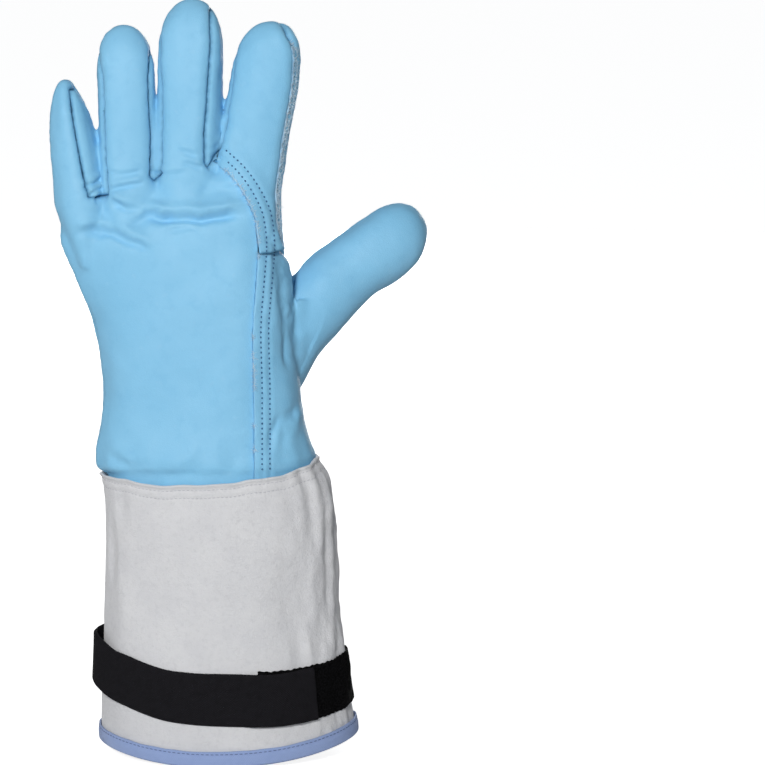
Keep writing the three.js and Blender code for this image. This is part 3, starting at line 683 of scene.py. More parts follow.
def lineRelief(points, onBack):
    x, y, z = points.T
    off = np.zeros(len(points))
    wobble = waves(points, 9, 41) * 1.5 + waves(points, 3.5, 42) * 0.5  # creases are never straight
    strength = 1 + waves(points, 12, 43) * 0.9
    for line, depth, reach, back in creases:
        line = onHand(line)
        away = rightOf(line, x, z) + wobble
        first, last = np.array(line[0]), np.array(line[-1])
        run = np.hypot(*(last - first))
        along = ((x - first[0]) * (last - first)[0] + (z - first[1]) * (last - first)[1]) / run ** 2
        fade = easeTo(-0.05, 0.2, along) * easeTo(1.05, 0.8, along)
        side = onBack if back else ~onBack
        fold = 0.75 * bump(away - 1.5 * reach, 1.4 * reach) - bump(away + 0.5 * reach, reach)
        off += side * fade * fold * depth * strength
    for place, wide, tall, depth, back in hollows:
        (cx, cz), = onHand([place])
        side = onBack if back else ~onBack
        off -= side * depth * np.exp(-((x - cx) / wide) ** 2 - ((z - cz) / tall) ** 2)
    return off


def nearest(places, points):
    tree = KDTree(len(places))
    for i, place in enumerate(places):
        tree.insert(place, i)
    tree.balance()
    return np.array([tree.find(p)[2] for p in points.tolist()])


def dressHand(points, panels):
    users = [set() for _ in range(len(points))]
    for name, faces in panels.items():
        for face in faces:
            for i in face:
                users[i].add(name)
    laps, plain, welt, notch = [], [], [], []
    for i, names in enumerate(users):
        if len(names) < 2:
            continue
        if {"index_panel", "thenar_panel"} <= names:
            welt.append(i)
        if {"index_panel", "thumb_back"} <= names:
            notch.append(i)
        elif any(set(pair) <= names for pair in lapPairs):
            laps.append(i)
        else:
            plain.append(i)
    seamAway, lapAway, notchAway = (
        np.minimum(nearest(points[some], points), 40) for some in (plain, laps, notch))
    onBack = backField(points) > 0
    onBack &= points[:, 1] - middleY(points[:, 2]) < 4
    normals = normalsOf(points, [f for faces in panels.values() for f in faces])
    off = lineRelief(points, onBack)
    off -= relief["groove"] * bump(seamAway, relief["grooveReach"])
    off += relief["puff"] * bump(seamAway - relief["puffAway"], relief["puffReach"])
    for size, seed, height in relief["swell"]:
        off += waves(points, size, seed) * height
    gather = bump(seamAway, relief["seamGather"]) + bump(lapAway, relief["lapGather"]) * 0.6
    off += waves(points * (1, 1, 1.8), 5.5, 3) * relief["pucker"] * gather
    x, z = points[:, 0], points[:, 2]
    wrist = easeTo(relief["wristFrom"], relief["wristFull"], z) * easeTo(139, 143, z)
    off += wrist * (relief["wristPad"] + waves(points * (1, 1, 0.5), 9, 5) * relief["wristFolds"])
    for lap, onSide in ((backLap, onBack), (palmLap, ~onBack)):
        for away in seamRows:
            off -= onSide * relief["channel"] * bump(rightOf(lap, x, z) - away, 1.1) * (lapAway < 14)
    shared = points + normals * off[:, None]
    made = {}
    for name, faces in panels.items():
        used = sorted({i for face in faces for i in face})
        place = {i: k for k, i in enumerate(used)}
        mine = shared[used]
        if name in lapOver:
            lift = relief["lapRise"] * (1 - easeTo(4, relief["lapReach"], lapAway[used]))
            mine = mine + normals[used] * lift[:, None]
        elif name in ("back_panel", "palm_panel"):
            mine = mine - normals[used] * (relief["underLap"] * bump(lapAway[used], 4))[:, None]
        if name == "index_panel":
            mine = mine + normals[used] * (relief["foldRise"] * bump(notchAway[used], 3))[:, None]
        if name == "thumb_back":
            mine = mine - normals[used] * (relief["foldSink"] * bump(notchAway[used], 3.5))[:, None]
        panel = makeObject("leather_" + name, mine, [[place[i] for i in face] for face in faces])
        for key, values in (("seamAway", np.minimum(seamAway, notchAway)), ("lapAway", lapAway)):
            panel.data.attributes.new(key, "FLOAT", "POINT").data.foreach_set("value", values[used])
        wall = panel.modifiers.new("leather", "SOLIDIFY")
        wall.thickness = hand["leather"] * mm if not name.startswith("fork") else 1.4 * mm
        wall.offset = -1
        wall.use_even_offset = False
        made[name] = panel
    return made, shared, normals, welt


leather, skinPoints, skinNormals, weltRun = dressHand(handPoints, panels)
print("leather panels are dressed")


# A surface to lay stitches on, seen from the back (-1) or the palm (1).
def surfaceTree(objects):
    points, faces, base = [], [], 0
    for item in objects:
        points += [v.co.copy() for v in item.data.vertices]
        faces += [[i + base for i in f.vertices] for f in item.data.polygons]
        base = len(points)
    return BVHTree.FromPolygons(points, faces)


def layOn(tree, line, side, lift):
    laid = []
    for x, z in line:
        start = Vector((x * mm, side * 0.2, z * mm))
        hit, normal, _, _ = tree.ray_cast(start, Vector((0, -side, 0)))
        if hit is None:
            continue
        if normal.y * side < 0:
            normal = -normal
        laid.append(hit + normal * lift * mm)
    return laid


# A tree that takes an edge line, sets a small shape at each step along it and gives it its finish.
def rowTree(name, sizes, finishLabel, resultLabel, shapeOf):
    tree = bpy.data.node_groups.new(name, "GeometryNodeTree")
    face = tree.interface
    face.new_socket("Line", in_out="INPUT", socket_type="NodeSocketGeometry")
    for label, value in sizes.items():
        face.new_socket(label, in_out="INPUT", socket_type="NodeSocketFloat").default_value = value
    face.new_socket(finishLabel, in_out="INPUT", socket_type="NodeSocketMaterial")
    face.new_socket(resultLabel, in_out="OUTPUT", socket_type="NodeSocketGeometry")
    given = tree.nodes.new("NodeGroupInput")
    curve = addNode(tree, "GeometryNodeMeshToCurve", {"Mesh": given.outputs["Line"]})
    steps = addNode(tree, "GeometryNodeResampleCurve", {
        "Curve": curve.outputs["Curve"], "Length": given.outputs[1]}, mode="LENGTH")
    shape, facing, scale = shapeOf(tree, given.outputs)
    laid = addNode(tree, "GeometryNodeInstanceOnPoints", {
        "Points": steps.outputs["Curve"], "Instance": shape, "Rotation": facing, "Scale": scale})
    real = addNode(tree, "GeometryNodeRealizeInstances", {"Geometry": laid.outputs["Instances"]})
    dyed = addNode(tree, "GeometryNodeSetMaterial", {
        "Geometry": real.outputs["Geometry"], "Material": given.outputs[finishLabel]})
    taken = tree.nodes.new("NodeGroupOutput")
    tree.links.new(dyed.outputs["Geometry"], taken.inputs[resultLabel])
    return tree


def randomWay(tree, seed):
    made = addNode(tree, "FunctionNodeRandomValue", {
        "Min": (-1, -1, -1), "Max": (1, 1, 1), "Seed": seed}, data_type="FLOAT_VECTOR")
    return made.outputs["Value"]


def turnedTo(tree, way, axis):
    made = addNode(tree, "FunctionNodeAlignRotationToVector", {"Vector": way}, axis=axis)
    return made.outputs["Rotation"]


def scaled(tree, shape, x, y, z):
    size = addNode(tree, "ShaderNodeCombineXYZ", {"X": x, "Y": y, "Z": z})
    made = addNode(tree, "GeometryNodeTransform", {
        "Geometry": shape.outputs["Mesh"], "Scale": size.outputs["Vector"]})
    return made.outputs["Geometry"]


# A short rounded stitch, in line with the row but for a little wander.
def stitchShape(tree, given):
    bead = addNode(tree, "GeometryNodeMeshUVSphere", {"Segments": 8, "Rings": 6, "Radius": 0.5})
    stitch = scaled(tree, bead, given["Length"], given["Thickness"], given["Thickness"])
    way = tree.nodes.new("GeometryNodeInputTangent")
    little = addNode(tree, "ShaderNodeVectorMath", {
        0: randomWay(tree, 4), "Scale": given["Wander"]}, operation="SCALE")
    lean = addNode(tree, "ShaderNodeVectorMath", {
        0: way.outputs["Tangent"], 1: little.outputs["Vector"]}, operation="ADD")
    return stitch, turnedTo(tree, lean.outputs["Vector"], "X"), (1, 1, 1)


# A loose fibre that stands any way, longer or shorter.
def fibreShape(tree, given):
    hair = addNode(tree, "GeometryNodeMeshCone", {
        "Vertices": 4, "Radius Top": 0.15, "Radius Bottom": 0.5, "Depth": 1}, fill_type="NONE")
    strand = scaled(tree, hair, given["Thickness"], given["Thickness"], given["Length"])
    tall = addNode(tree, "FunctionNodeRandomValue", {"Min": 0.35, "Max": 1.15, "Seed": 2},
                   data_type="FLOAT")
    return strand, turnedTo(tree, randomWay(tree, 9), "Z"), tall.outputs[1]


# Runs a tree on one or more lines of points in metres, and keeps the result as a plain mesh.
def grow(name, tree, lines, sizes, material):
    points, edges = [], []
    for line in lines:
        edges += [(len(points) + k, len(points) + k + 1) for k in range(len(line) - 1)]
        points += [tuple(p) for p in line]
    mesh = bpy.data.meshes.new(name + "Line")
    mesh.from_pydata(points, edges, [])
    holder = bpy.data.objects.new(name + "Line", mesh)
    scene.collection.objects.link(holder)
    change = holder.modifiers.new("grown", "NODES")
    change.node_group = tree
    for item in tree.interface.items_tree:
        if item.in_out == "INPUT" and item.name in sizes:
            change[item.identifier] = sizes[item.name]
        if item.in_out == "INPUT" and item.socket_type == "NodeSocketMaterial":
            change[item.identifier] = material
    depsgraph = bpy.context.evaluated_depsgraph_get()
    made = bpy.data.objects.new(name, bpy.data.meshes.new_from_object(holder.evaluated_get(depsgraph)))
    bpy.data.objects.remove(holder)
    scene.collection.objects.link(made)
    made.data.shade_smooth()
    return made


def newGroup(name, inputs, outputs):
    tree = bpy.data.node_groups.new(name, "ShaderNodeTree")
    for label, value in inputs.items():
        kind = "NodeSocketVector" if value is None else "NodeSocketFloat"
        socket = tree.interface.new_socket(label, in_out="INPUT", socket_type=kind)
        if value is not None:
            socket.default_value = value
    for label in outputs:
        tree.interface.new_socket(label, in_out="OUTPUT", socket_type="NodeSocketFloat")
    return tree, tree.nodes.new("NodeGroupInput"), tree.nodes.new("NodeGroupOutput")


def calc(tree, operation, *values, clamp=False):
    made = addNode(tree, "ShaderNodeMath", dict(enumerate(values)), operation=operation, use_clamp=clamp)
    return made.outputs[0]


def noiseOf(tree, place, scale, detail=3.0, rough=0.5):
    made = addNode(tree, "ShaderNodeTexNoise", {
        "Vector": place, "Scale": scale, "Detail": detail, "Roughness": rough})
    return made.outputs["Fac"]


# Pebbled grain: small rounded cells between fine creases, on slow unevenness.
def grainGroup():
    tree, given, taken = newGroup(
        "leatherGrain", {"Place": None, "Cell": 1100, "Crease": 0.5}, ["Height"])
    place = given.outputs["Place"]
    cells = addNode(tree, "ShaderNodeTexVoronoi", {"Vector": place, "Scale": given.outputs["Cell"]},
                    feature="DISTANCE_TO_EDGE")
    edge = calc(tree, "SMOOTH_MIN", calc(tree, "MULTIPLY", cells.outputs["Distance"], 3.2), 0.55, 0.2)
    fine = noiseOf(tree, place, 620, 4, 0.6)
    slow = noiseOf(tree, place, 120, 3)
    height = calc(tree, "ADD", calc(tree, "MULTIPLY", edge, given.outputs["Crease"]),
                  calc(tree, "MULTIPLY", fine, 0.7))
    tree.links.new(calc(tree, "ADD", height, calc(tree, "MULTIPLY", slow, 0.9)), taken.inputs["Height"])
    return tree


# Napped suede: short fibres in all directions, in soft patches.
def napGroup():
    tree, given, taken = newGroup(
        "suedeNap", {"Place": None, "Fibre": 1500, "Patch": 90}, ["Height", "Patches"])
    place = given.outputs["Place"]
    fibre = noiseOf(tree, place, given.outputs["Fibre"], 2, 0.7)
    tufts = noiseOf(tree, place, 480, 4, 0.65)
    patch = noiseOf(tree, place, given.outputs["Patch"], 4, 0.6)
    height = calc(tree, "ADD", calc(tree, "MULTIPLY", fibre, 0.8), calc(tree, "MULTIPLY", tufts, 1.2))
    tree.links.new(height, taken.inputs["Height"])
    tree.links.new(patch, taken.inputs["Patches"])
    return tree


# How close a point is to a seam, from 0 away from it to 1 in it, broken up a little.
def seamGroup():
    tree, given, taken = newGroup(
        "seamCloseness", {"Away": 10.0, "Reach": 1.5, "Place": None}, ["Closeness"])
    share = calc(tree, "DIVIDE", given.outputs["Away"], given.outputs["Reach"])
    broken = calc(tree, "MULTIPLY_ADD", noiseOf(tree, given.outputs["Place"], 260), 0.8, -0.4)
    fall = calc(tree, "SUBTRACT", 1.0, calc(tree, "ADD", share, broken), clamp=True)
    tree.links.new(calc(tree, "MULTIPLY", fall, fall), taken.inputs["Closeness"])
    return tree


# Crossing threads, from the piece's own run and span in millimetres.
def weaveGroup():
    tree, given, taken = newGroup(
        "crossedThreads", {"Run": 0.0, "Span": 0.0, "Pitch": 0.8, "Rib": 0.6}, ["Height"])

    def wave(way):
        turns = calc(tree, "DIVIDE", given.outputs[way], given.outputs["Pitch"])
        return calc(tree, "SINE", calc(tree, "MULTIPLY", turns, 2 * math.pi))

    along, across = wave("Run"), wave("Span")
    crossed = calc(tree, "MULTIPLY", along, across)
    ribs = calc(tree, "MULTIPLY", calc(tree, "ABSOLUTE", across), given.outputs["Rib"])
    tree.links.new(calc(tree, "ADD", crossed, ribs), taken.inputs["Height"])
    return tree


groups = {"grain": grainGroup(), "nap": napGroup(), "seam": seamGroup(), "weave": weaveGroup()}


def placeGroup(tree, key, inputs):
    return addNode(tree, "ShaderNodeGroup", inputs, node_tree=groups[key]).outputs


def mixColour(tree, share, *colours):
    first, second = ((*c, 1) if isinstance(c, tuple) else c for c in colours)
    made = addNode(tree, "ShaderNodeMix", {0: share, 6: first, 7: second}, data_type="RGBA")
    return made.outputs[2]


def startMaterial(name, rough, sheen=0.0, specular=0.4):
    material = bpy.data.materials.new(name)
    material.use_nodes = True
    tree = material.node_tree
    shader = tree.nodes["Principled BSDF"]
    setValues(shader, {
        "Roughness": rough, "Sheen Weight": sheen, "Sheen Roughness": 0.45, "Specular IOR Level": specular})
    place = addNode(tree, "ShaderNodeTexCoord").outputs["Object"]
    return material, tree, shader, place


def readValue(tree, name):
    return addNode(tree, "ShaderNodeAttribute", attribute_name=name).outputs["Fac"]


def bumpInto(tree, shader, height, strength, depth):
    made = addNode(tree, "ShaderNodeBump", {
        "Height": height, "Strength": strength, "Distance": depth * mm})
    tree.links.new(made.outputs["Normal"], shader.inputs["Normal"])


def spread(tree, value, low, high, outLow, outHigh):
    made = addNode(tree, "ShaderNodeMapRange", {
        "Value": value, "From Min": low, "From Max": high, "To Min": outLow, "To Max": outHigh})
    return made.outputs["Result"]


# seam: the colour the leather darkens to in and beside its seam grooves, painted shade
leatherLook = {
    "base": (0.228, 0.548, 0.81), "pale": (0.25, 0.572, 0.832), "deep": (0.19, 0.49, 0.76),
    "seam": (0.05, 0.2, 0.36), "worn": (0.31, 0.61, 0.85), "rough": (0.46, 0.6),
}
# The fork strips' leather: a slightly darker copy of the glove leather, painted shade between the fingers;
# its seam colour is painted shade in the seam grooves as well.
shadedForkLook = {
    "base": (0.215, 0.525, 0.775), "pale": (0.24, 0.558, 0.81), "deep": (0.17, 0.46, 0.7),
    "seam": (0.04, 0.17, 0.32), "worn": (0.28, 0.57, 0.8), "rough": (0.55, 0.7),
}
suedeLooks = {  # base, pale and deep colour
    "splitLeather": ((0.65, 0.66, 0.69), (0.69, 0.7, 0.725), (0.53, 0.54, 0.57)),
    "rawEdge": ((0.26, 0.52, 0.74), (0.42, 0.66, 0.83), (0.12, 0.33, 0.54)),
    # a darker copy of rawEdge for the palm-side layer of the index finger's raw edge: painted shade
    "darkEdge": ((0.09, 0.27, 0.42), (0.18, 0.4, 0.56), (0.04, 0.16, 0.28)),
    "looseFibres": ((0.5, 0.72, 0.88), (0.68, 0.82, 0.92), (0.35, 0.6, 0.8)),
}
wovenLooks = {  # base and pale colour, pitch of the threads in millimetres, ribs, depth and sheen
    "blueTape": ((0.25, 0.35, 0.63), (0.37, 0.48, 0.78), 0.75, 0.5, 0.14, 0.2),
    "blackElastic": ((0.004, 0.004, 0.005), (0.014, 0.0135, 0.017), 1.15, 1.4, 0.3, 0.0),
}
threadLooks = {  # dark and pale colour
    "blueThread": ((0.012, 0.075, 0.2), (0.05, 0.16, 0.34)),
    "paleThread": ((0.42, 0.43, 0.47), (0.6, 0.61, 0.65)),
    "tapeThread": ((0.08, 0.12, 0.28), (0.16, 0.22, 0.42)),
}


def leatherMaterial(name, look):
    material, tree, shader, place = startMaterial(name, 0.58, sheen=0.03, specular=0.3)
    broad = noiseOf(tree, place, 22, 3)
    small = noiseOf(tree, place, 150, 5, 0.62)
    tone = mixColour(tree, spread(tree, broad, 0.38, 0.66, 0, 1), look["base"], look["pale"])
    tone = mixColour(tree, spread(tree, small, 0.52, 0.72, 0, 0.42), tone, look["deep"])
    flecks = spread(tree, noiseOf(tree, place, 300, 3), 0.62, 0.74, 0, 0.3)
    tone = mixColour(tree, flecks, tone, look["worn"])

    def closeTo(seam, reach):
        return placeGroup(tree, "seam", {
            "Away": readValue(tree, seam), "Reach": reach, "Place": place})["Closeness"]

    # darker in and beside the seam grooves: painted shade
    tone = mixColour(tree, calc(tree, "MULTIPLY", closeTo("seamAway", 1.9), 0.85), tone, look["seam"])
    tone = mixColour(tree, calc(tree, "MULTIPLY", closeTo("lapAway", 1.0), 0.35), tone, look["worn"])
    tree.links.new(tone, shader.inputs["Base Color"])
    grain = placeGroup(tree, "grain", {"Place": place, "Cell": 1050, "Crease": 0.55})["Height"]
    tree.links.new(spread(tree, small, 0.3, 0.7, *look["rough"]), shader.inputs["Roughness"])
    pull = calc(tree, "MULTIPLY", closeTo("seamAway", 9.0), 2.2)
    pucker = calc(tree, "MULTIPLY", noiseOf(tree, place, 330, 2), pull)
    bumpInto(tree, shader, calc(tree, "ADD", grain, pucker), 0.62, 0.16)
    return material


def suedeMaterial(name, base, pale, deep):
    material, tree, shader, place = startMaterial(name, 0.95, sheen=0.35, specular=0.12)
    nap = placeGroup(tree, "nap", {"Place": place, "Fibre": 1600, "Patch": 60})
    tone = mixColour(tree, spread(tree, nap["Patches"], 0.36, 0.64, 0, 1), base, pale)
    specks = spread(tree, noiseOf(tree, place, 420, 5, 0.7), 0.5, 0.75, 0, 0.5)
    tree.links.new(mixColour(tree, specks, tone, deep), shader.inputs["Base Color"])
    bumpInto(tree, shader, nap["Height"], 0.85, 0.42)
    return material


def wovenMaterial(name, base, pale, pitch, rib, depth, sheen):
    material, tree, shader, place = startMaterial(name, 0.85, sheen=sheen, specular=0.12)
    run, span = readValue(tree, "run"), readValue(tree, "span")
    threads = placeGroup(tree, "weave", {"Run": run, "Span": span, "Pitch": pitch, "Rib": rib})["Height"]
    tone = mixColour(tree, spread(tree, threads, -1, 1.3, 0, 1), base, pale)
    tone = mixColour(tree, spread(tree, noiseOf(tree, place, 300, 4), 0.45, 0.75, 0, 0.35), tone, base)
    tree.links.new(tone, shader.inputs["Base Color"])
    fuzz = calc(tree, "MULTIPLY", noiseOf(tree, place, 1500, 2), 0.9)
    bumpInto(tree, shader, calc(tree, "ADD", threads, fuzz), 0.7, depth)
    return material


# Loops and hooks: a dense pile of small knots.
def pileMaterial(name, base, pale, scale):
    material, tree, shader, place = startMaterial(name, 0.96, specular=0.06)
    knots = addNode(tree, "ShaderNodeTexVoronoi", {"Vector": place, "Scale": scale, "Randomness": 0.8})
    tone = mixColour(tree, spread(tree, knots.outputs["Distance"], 0.1, 0.7, 1, 0), base, pale)
    tree.links.new(tone, shader.inputs["Base Color"])
    height = calc(tree, "SUBTRACT", noiseOf(tree, place, scale * 1.7, 3, 0.7), knots.outputs["Distance"])
    bumpInto(tree, shader, height, 0.9, 0.5)
    return material


def threadMaterial(name, base, pale):
    material, tree, shader, place = startMaterial(name, 0.7, sheen=0.1, specular=0.3)
    tone = mixColour(tree, noiseOf(tree, place, 900, 2), base, pale)
    tree.links.new(tone, shader.inputs["Base Color"])
    bumpInto(tree, shader, noiseOf(tree, place, 3000, 2), 0.4, 0.1)
    return material


finish = {
    "blueLeather": leatherMaterial("blueLeather", leatherLook),
    "shadedSideLeather": leatherMaterial("shadedSideLeather", shadedForkLook),
    "blackHook": pileMaterial("blackHook", (0.001, 0.001, 0.0012), (0.007, 0.007, 0.008), 1100),
}
for maker, looks in (
        (suedeMaterial, suedeLooks), (wovenMaterial, wovenLooks), (threadMaterial, threadLooks)):
    for name, look in looks.items():
        finish[name] = maker(name, *look)


def settle(piece, material, slot, *nodes):
    if material:
        piece.data.materials.clear()
        piece.data.materials.append(finish[material])
    if nodes:
        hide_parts(*nodes)
    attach(piece, "root")


# the fork strips take the darker copy of the leather, painted shade
for name, panel in leather.items():
    kind = ("shadedSideLeather", "side_leather") if name.startswith("fork") else ("blueLeather", "blue_leather")
    settle(panel, *kind, name)

sewing = {
    "pitch": 2.5, "stitch": 1.15, "thick": 0.82, "lift": 0.1,
}
sewnRow = rowTree("sewnRow", {
    "Pitch": 0.0015, "Length": 0.0011, "Thickness": 0.0005, "Wander": 0.06,
}, "Thread", "Stitches", stitchShape)
rawFibres = rowTree("rawFibres", {
    "Spacing": 0.0001, "Length": 0.0021, "Thickness": 0.0002,
}, "Fibre", "Fibres", fibreShape)
backTree = surfaceTree(leather.values())


# A run of points beside a lapped edge, up to a share of the hand's length, laid on the leather.
def besideLap(line, away, spacing, top, side, lift):
    low, high = hand["cuffLength"] + 1, upHand(top)
    run = [p for p in offsetLine(line, away, spacing) if low < p[1] < high]
    return layOn(backTree, run, side, lift)


def stitchSizes(row):
    return {"Pitch": row["pitch"] * mm, "Length": row["stitch"] * mm, "Thickness": row["thick"] * mm}


for name, line, side, tops in (
        ("stitches_back", backLap, -1, (0.655, 0.68)), ("stitches_palm", palmLap, 1, (0.6, 0.6))):
    rows = [besideLap(line, away, 1.5, top, side, sewing["lift"]) for away, top in zip(seamRows, tops)]
    settle(grow(name, sewnRow, rows, stitchSizes(sewing), finish["blueThread"]), None, "blue_leather")
print("stitches are sewn")


def setRun(piece, run, span):
    for key, values in (("run", run), ("span", span)):
        kept = piece.data.attributes.new(key, "FLOAT", "POINT")
        kept.data.foreach_set("value", np.asarray(values, float).ravel())


def cuffRipple(turn, up):
    flat = onCuff(turn, up).reshape(-1, 3)
    soft = waves(flat, 46, 11) * 1.3 + waves(flat * (1, 1, 0.7), 18, 12) * 0.5
    soft += waves(flat, 7, 13) * 0.12
    crinkled = easeTo(0.3, 0.85, np.cos(np.radians(turn)).ravel())  # softer leather at the thumb side
    soft += crinkled * (waves(flat * (1, 1, 0.3), 7, 14) * 1.5 + waves(flat * (1, 1, 0.6), 3.6, 15) * 0.5)
    return soft.reshape(np.shape(turn))


cuffSewing = {"below": (2.4, 6.4), "pitch": 2.1, "stitch": 1.6, "thick": 0.42}


def makeCuff():
    turns = np.arange(0, 360, 1.25)
    ups = np.concatenate([np.linspace(0, 0.93, 70), np.linspace(0.937, 1, 16)])
    turn, up = np.meshgrid(turns, ups, indexing="ij")
    soft = cuffRipple(turn, up) * easeTo(0, 0.06, up)
    height = (1 - up) * hand["cuffLength"]
    channel = 0.35 * sum(bump(height - below, 0.8) for below in cuffSewing["below"])
    roll = 0.9 * easeTo(2.2, 0, height) ** 2
    outer = onCuff(turn, up, soft - channel + roll)
    inner = onCuff(turn, up, soft - cuff["wall"] + roll)
    lip = onCuff(turn[:, -1:], up[:, -1:], soft[:, -1:] - cuff["wall"] / 2 + roll[:, -1:])
    lip[..., 2] += 0.5
    sections = np.concatenate([outer, lip, inner[:, ::-1]], axis=1)
    points, faces = loft(sections, ring=True)
    made = makeObject("split_leather_cuff", points, faces)
    settle(made, "splitLeather", "split_leather", "cuff")
    turns = np.arange(0, 360.1, 0.6)
    rows = []
    for below in cuffSewing["below"]:
        share = 1 - below / hand["cuffLength"]
        wave = cuffRipple(turns, np.full(len(turns), share))
        rows.append(onCuff(turns, share, wave - 0.3) * mm)
    sewn = grow("stitches_cuff", sewnRow, rows, stitchSizes(cuffSewing), finish["paleThread"])
    settle(sewn, None, "split_leather")


tape = {
    "height": 7, "wall": 0.9, "gap": 0.3, "stitchDown": 1.3, "swell": 0.25, "pull": 0.3, "fold": 1.25,
    "waver": 0.35, "pitch": 2.4, "stitch": 1.9, "thick": 0.45,
}


def makeBinding():
    turns = np.arange(0, 360, 1)
    top = tape["height"] / hand["cuffLength"]
    out, inside = tape["gap"] + tape["wall"], -cuff["wall"] - tape["gap"] - tape["wall"]
    legs = []  # off, up, drop
    for share in np.linspace(1, 0, 10):
        swell = tape["swell"] * math.sin(math.pi * share) - tape["pull"] * bump(share - 0.76, 0.1)
        legs.append((out + swell, top * share, 0))
    middle, half = (out + inside) / 2, (out - inside) / 2
    for angle in np.linspace(0, math.pi, 12)[1:-1]:
        legs.append((middle + half * math.cos(angle), 0, tape["fold"] * math.sin(angle)))
    for share in np.linspace(0, 1, 6):
        legs.append((inside, top * share, 0))
    for share in np.linspace(1, 0, 6):
        legs.append((inside + tape["wall"], top * share, 0))
    legs.append((tape["gap"], 0, 0))
    for share in np.linspace(0.2, 1, 5):
        legs.append((tape["gap"], top * share, 0))
    legs.append((out - 0.35, top * 1.02, 0))
    off, up, drop = (np.array(v)[None, :] for v in zip(*legs))
    turn = turns[:, None] + 0 * off
    edge = waves(onCuff(turns, 0.05), 9, 21)[:, None] * tape["waver"] * (up > 0)
    sections = onCuff(turn, up + 0 * turn, off + 0 * turn)
    sections[..., 2] += edge - drop
    points, faces = loft(sections, ring=True)
    made = makeObject("hem_tape", points, faces)
    steps = np.hypot(np.diff(off[0]), np.diff(up[0] * hand["cuffLength"] - drop[0]))
    span = np.concatenate([[0], np.cumsum(steps)])
    setRun(made, turns[:, None] / 360 * 340 + 0 * off, span[None, :] + 0 * turn)
    settle(made, "blueTape", "blue_tape", "hem_binding")
    turns = np.arange(0, 360.1, 0.6)
    share = top - tape["stitchDown"] / hand["cuffLength"]
    row = onCuff(turns, share, out - 0.02) * mm
    sewn = grow("stitches_hem", sewnRow, [row], stitchSizes(tape), finish["tapeThread"])
    settle(sewn, None, "blue_tape")


# turn, height of the strap's middle as a share of the cuff, and its stand-off as a share of the slack
strapRows = np.array([
    (-12, 0.198, 0), (20, 0.198, 0), (48, 0.208, 0), (90, 0.233, 0), (120, 0.247, 0), (140, 0.266, 0.15),
    (155, 0.282, 0.6), (168, 0.3, 1), (180, 0.312, 0.95), (190, 0.32, 0.45), (197, 0.325, 0),
])
strapSizes = {"width": 26.2, "wall": 1.6, "slack": 3.4, "end": 46, "gap": 0.35, "edge": 0.7}
patchSizes = {"width": 26.5, "wall": 1.2, "start": 76, "end": -9, "rise": 0.0045}


def makeBand(name, turns, width, wall, lift, wander):
    middle = through(strapRows[:, 0], strapRows[:, 1], turns)
    across = np.linspace(-1, 1, 25)
    beyond = (np.abs(across) * width / 2 - width / 2 + strapSizes["edge"]) / strapSizes["edge"]
    rounding = np.sqrt(np.maximum(0, 1 - np.maximum(0, beyond) ** 2))
    outer = wall * (0.35 + 0.65 * rounding)
    inner = np.zeros(len(across))
    offs = np.concatenate([outer, inner[::-1]])
    places = np.concatenate([across, across[::-1]])
    turn = turns[:, None] + 0 * offs
    up = middle[:, None] + places * width / 2 / hand["cuffLength"]
    up = up + wander(turns)[:, None] * (1 + 0.3 * places)
    under = cuffRipple(turn, up) * easeTo(0, 0.06, up)
    off = offs + strapSizes["gap"] + lift(turns)[:, None] + under
    points, faces = loft(onCuff(turn, up, off))
    made = makeObject(name, points, faces)
    run = turns[:, None] / 360 * 345 + 0 * offs
    setRun(made, run, places * width / 2 + 0 * turn)
    return made


def makeStrap():
    patch = makeBand(
        "hook_tape", np.arange(patchSizes["end"], patchSizes["start"] + 0.1, 0.8), patchSizes["width"],
        patchSizes["wall"], lambda t: 0 * t,
        lambda t: patchSizes["rise"] + 0.0012 * np.sin(t * 1.7) + 0.0008 * np.sin(t * 0.61))
    settle(patch, "blackHook", "black_hook", "hook_patch")
    low, high = patchSizes["start"] + 8, patchSizes["start"] + 2

    def lift(turns):
        over = (patchSizes["wall"] + strapSizes["gap"]) * easeTo(low, high, turns)
        return over + strapSizes["slack"] * through(strapRows[:, 0], strapRows[:, 2], turns)

    strap = makeBand(
        "elastic_strap", np.arange(strapSizes["end"], strapRows[-1, 0] + 0.1, 0.8), strapSizes["width"],
        strapSizes["wall"], lift, lambda t: 0.0016 * np.sin(np.radians(t * 9)))
    settle(strap, "blackElastic", "black_elastic", "strap")


makeCuff()
makeBinding()
makeStrap()
print("cuff and strap are made")


# The raw edges of the index finger's outer seam: two layers of leather that stand up side by side.
weltSizes = {"height": 2.3, "layer": 0.95, "apart": 1.05, "step": 0.9, "root": 1.6, "fromTop": 21}


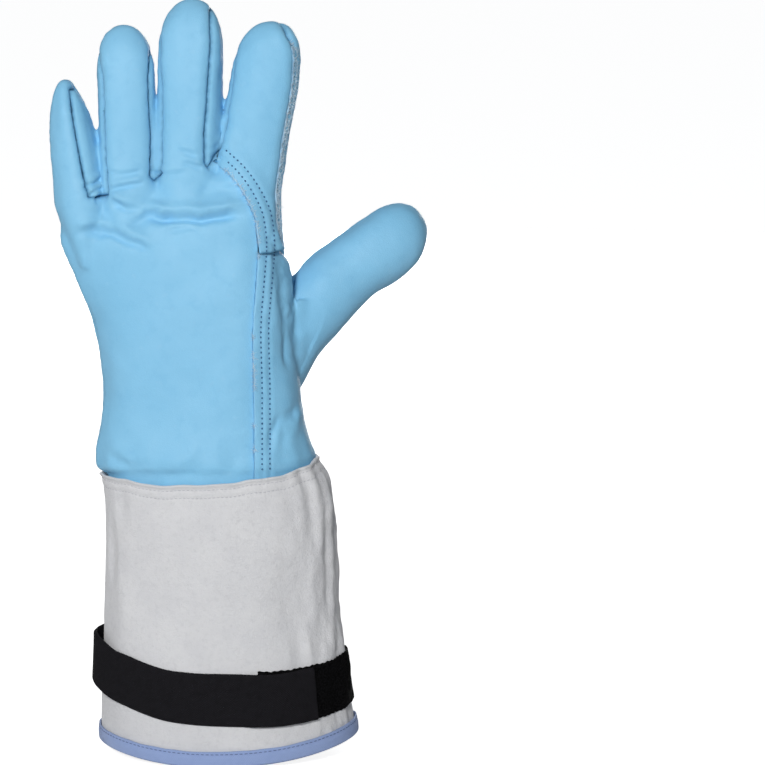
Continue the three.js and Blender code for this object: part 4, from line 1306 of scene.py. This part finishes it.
def makeWelt():
    upwards = sorted(weltRun, key=lambda i: handPoints[i][2])
    run, outward = skinPoints[upwards], skinNormals[upwards]
    keep = (run[:, 2] > indexFoot + 2) & (run[:, 2] < handTop - weltSizes["fromTop"]) & (run[:, 0] > 20)
    run, outward = run[keep], outward[keep]
    heights = np.arange(run[:, 2].min(), run[:, 2].max(), weltSizes["step"])
    path = np.stack([np.interp(heights, run[:, 2], run[:, k]) for k in range(3)], -1)
    away = np.stack([np.interp(heights, run[:, 2], outward[:, k]) for k in range(3)], -1)
    smooth = np.ones(7) / 7
    for k in range(3):
        path[3:-3, k] = np.convolve(path[:, k], smooth, "valid")
        away[3:-3, k] = np.convolve(away[:, k], smooth, "valid")
    away[:, 2] = 0
    away /= np.linalg.norm(away, axis=1)[:, None]
    ahead = np.gradient(path, axis=0)
    ahead /= np.linalg.norm(ahead, axis=1)[:, None]
    side = np.cross(ahead, away)
    rag = waves(path, 2.6, 31) * 0.7
    ends = easeTo(0, 6, np.arange(len(path))) * easeTo(0, 6, np.arange(len(path))[::-1])
    tops = []
    for layer, sign in (("front", 1), ("back", -1)):
        half = weltSizes["layer"] / 2
        tall = weltSizes["height"] * ends + rag * ends * (1 if sign > 0 else -0.8) - 0.4 * (sign < 0)
        lean = sign * weltSizes["apart"] / 2 + sign * 0.35 * ends
        root = -weltSizes["root"]
        corners = [(-half, root), (half, root), (half, 0), (half * 0.9, 0.7), (0, 1), (-half * 0.9, 0.7)]
        corners.append((-half, 0))
        section = []
        for wide, high in corners:
            up = np.where(high > 0, high * tall, high)
            shift = wide + np.where(high > 0, lean, sign * weltSizes["apart"] / 2)
            section.append(path + side * np.reshape(shift, (-1, 1)) + away * np.reshape(up, (-1, 1)))
        points, faces = loft(np.stack(section, 1))
        made = makeObject("index_seam_" + layer, points, faces)
        if layer == "front":
            # the front layer takes the darker copy of the raw edge: painted shade
            settle(made, "darkEdge", "side_leather", "index_welt")
        else:
            settle(made, "rawEdge", "side_leather")
        tops.append(section[4] * mm)
    return tops


weltTops = makeWelt()
lapEdges = [
    besideLap(line, 0.3, 0.8, top, side, 0)
    for line, side, top in ((backLap, -1, 0.64), (palmLap, 1, 0.59))
]
fibres = grow("fibres_raw_edges", rawFibres, weltTops + lapEdges, {}, finish["looseFibres"])
settle(fibres, None, "side_leather")
print("raw edges are made")
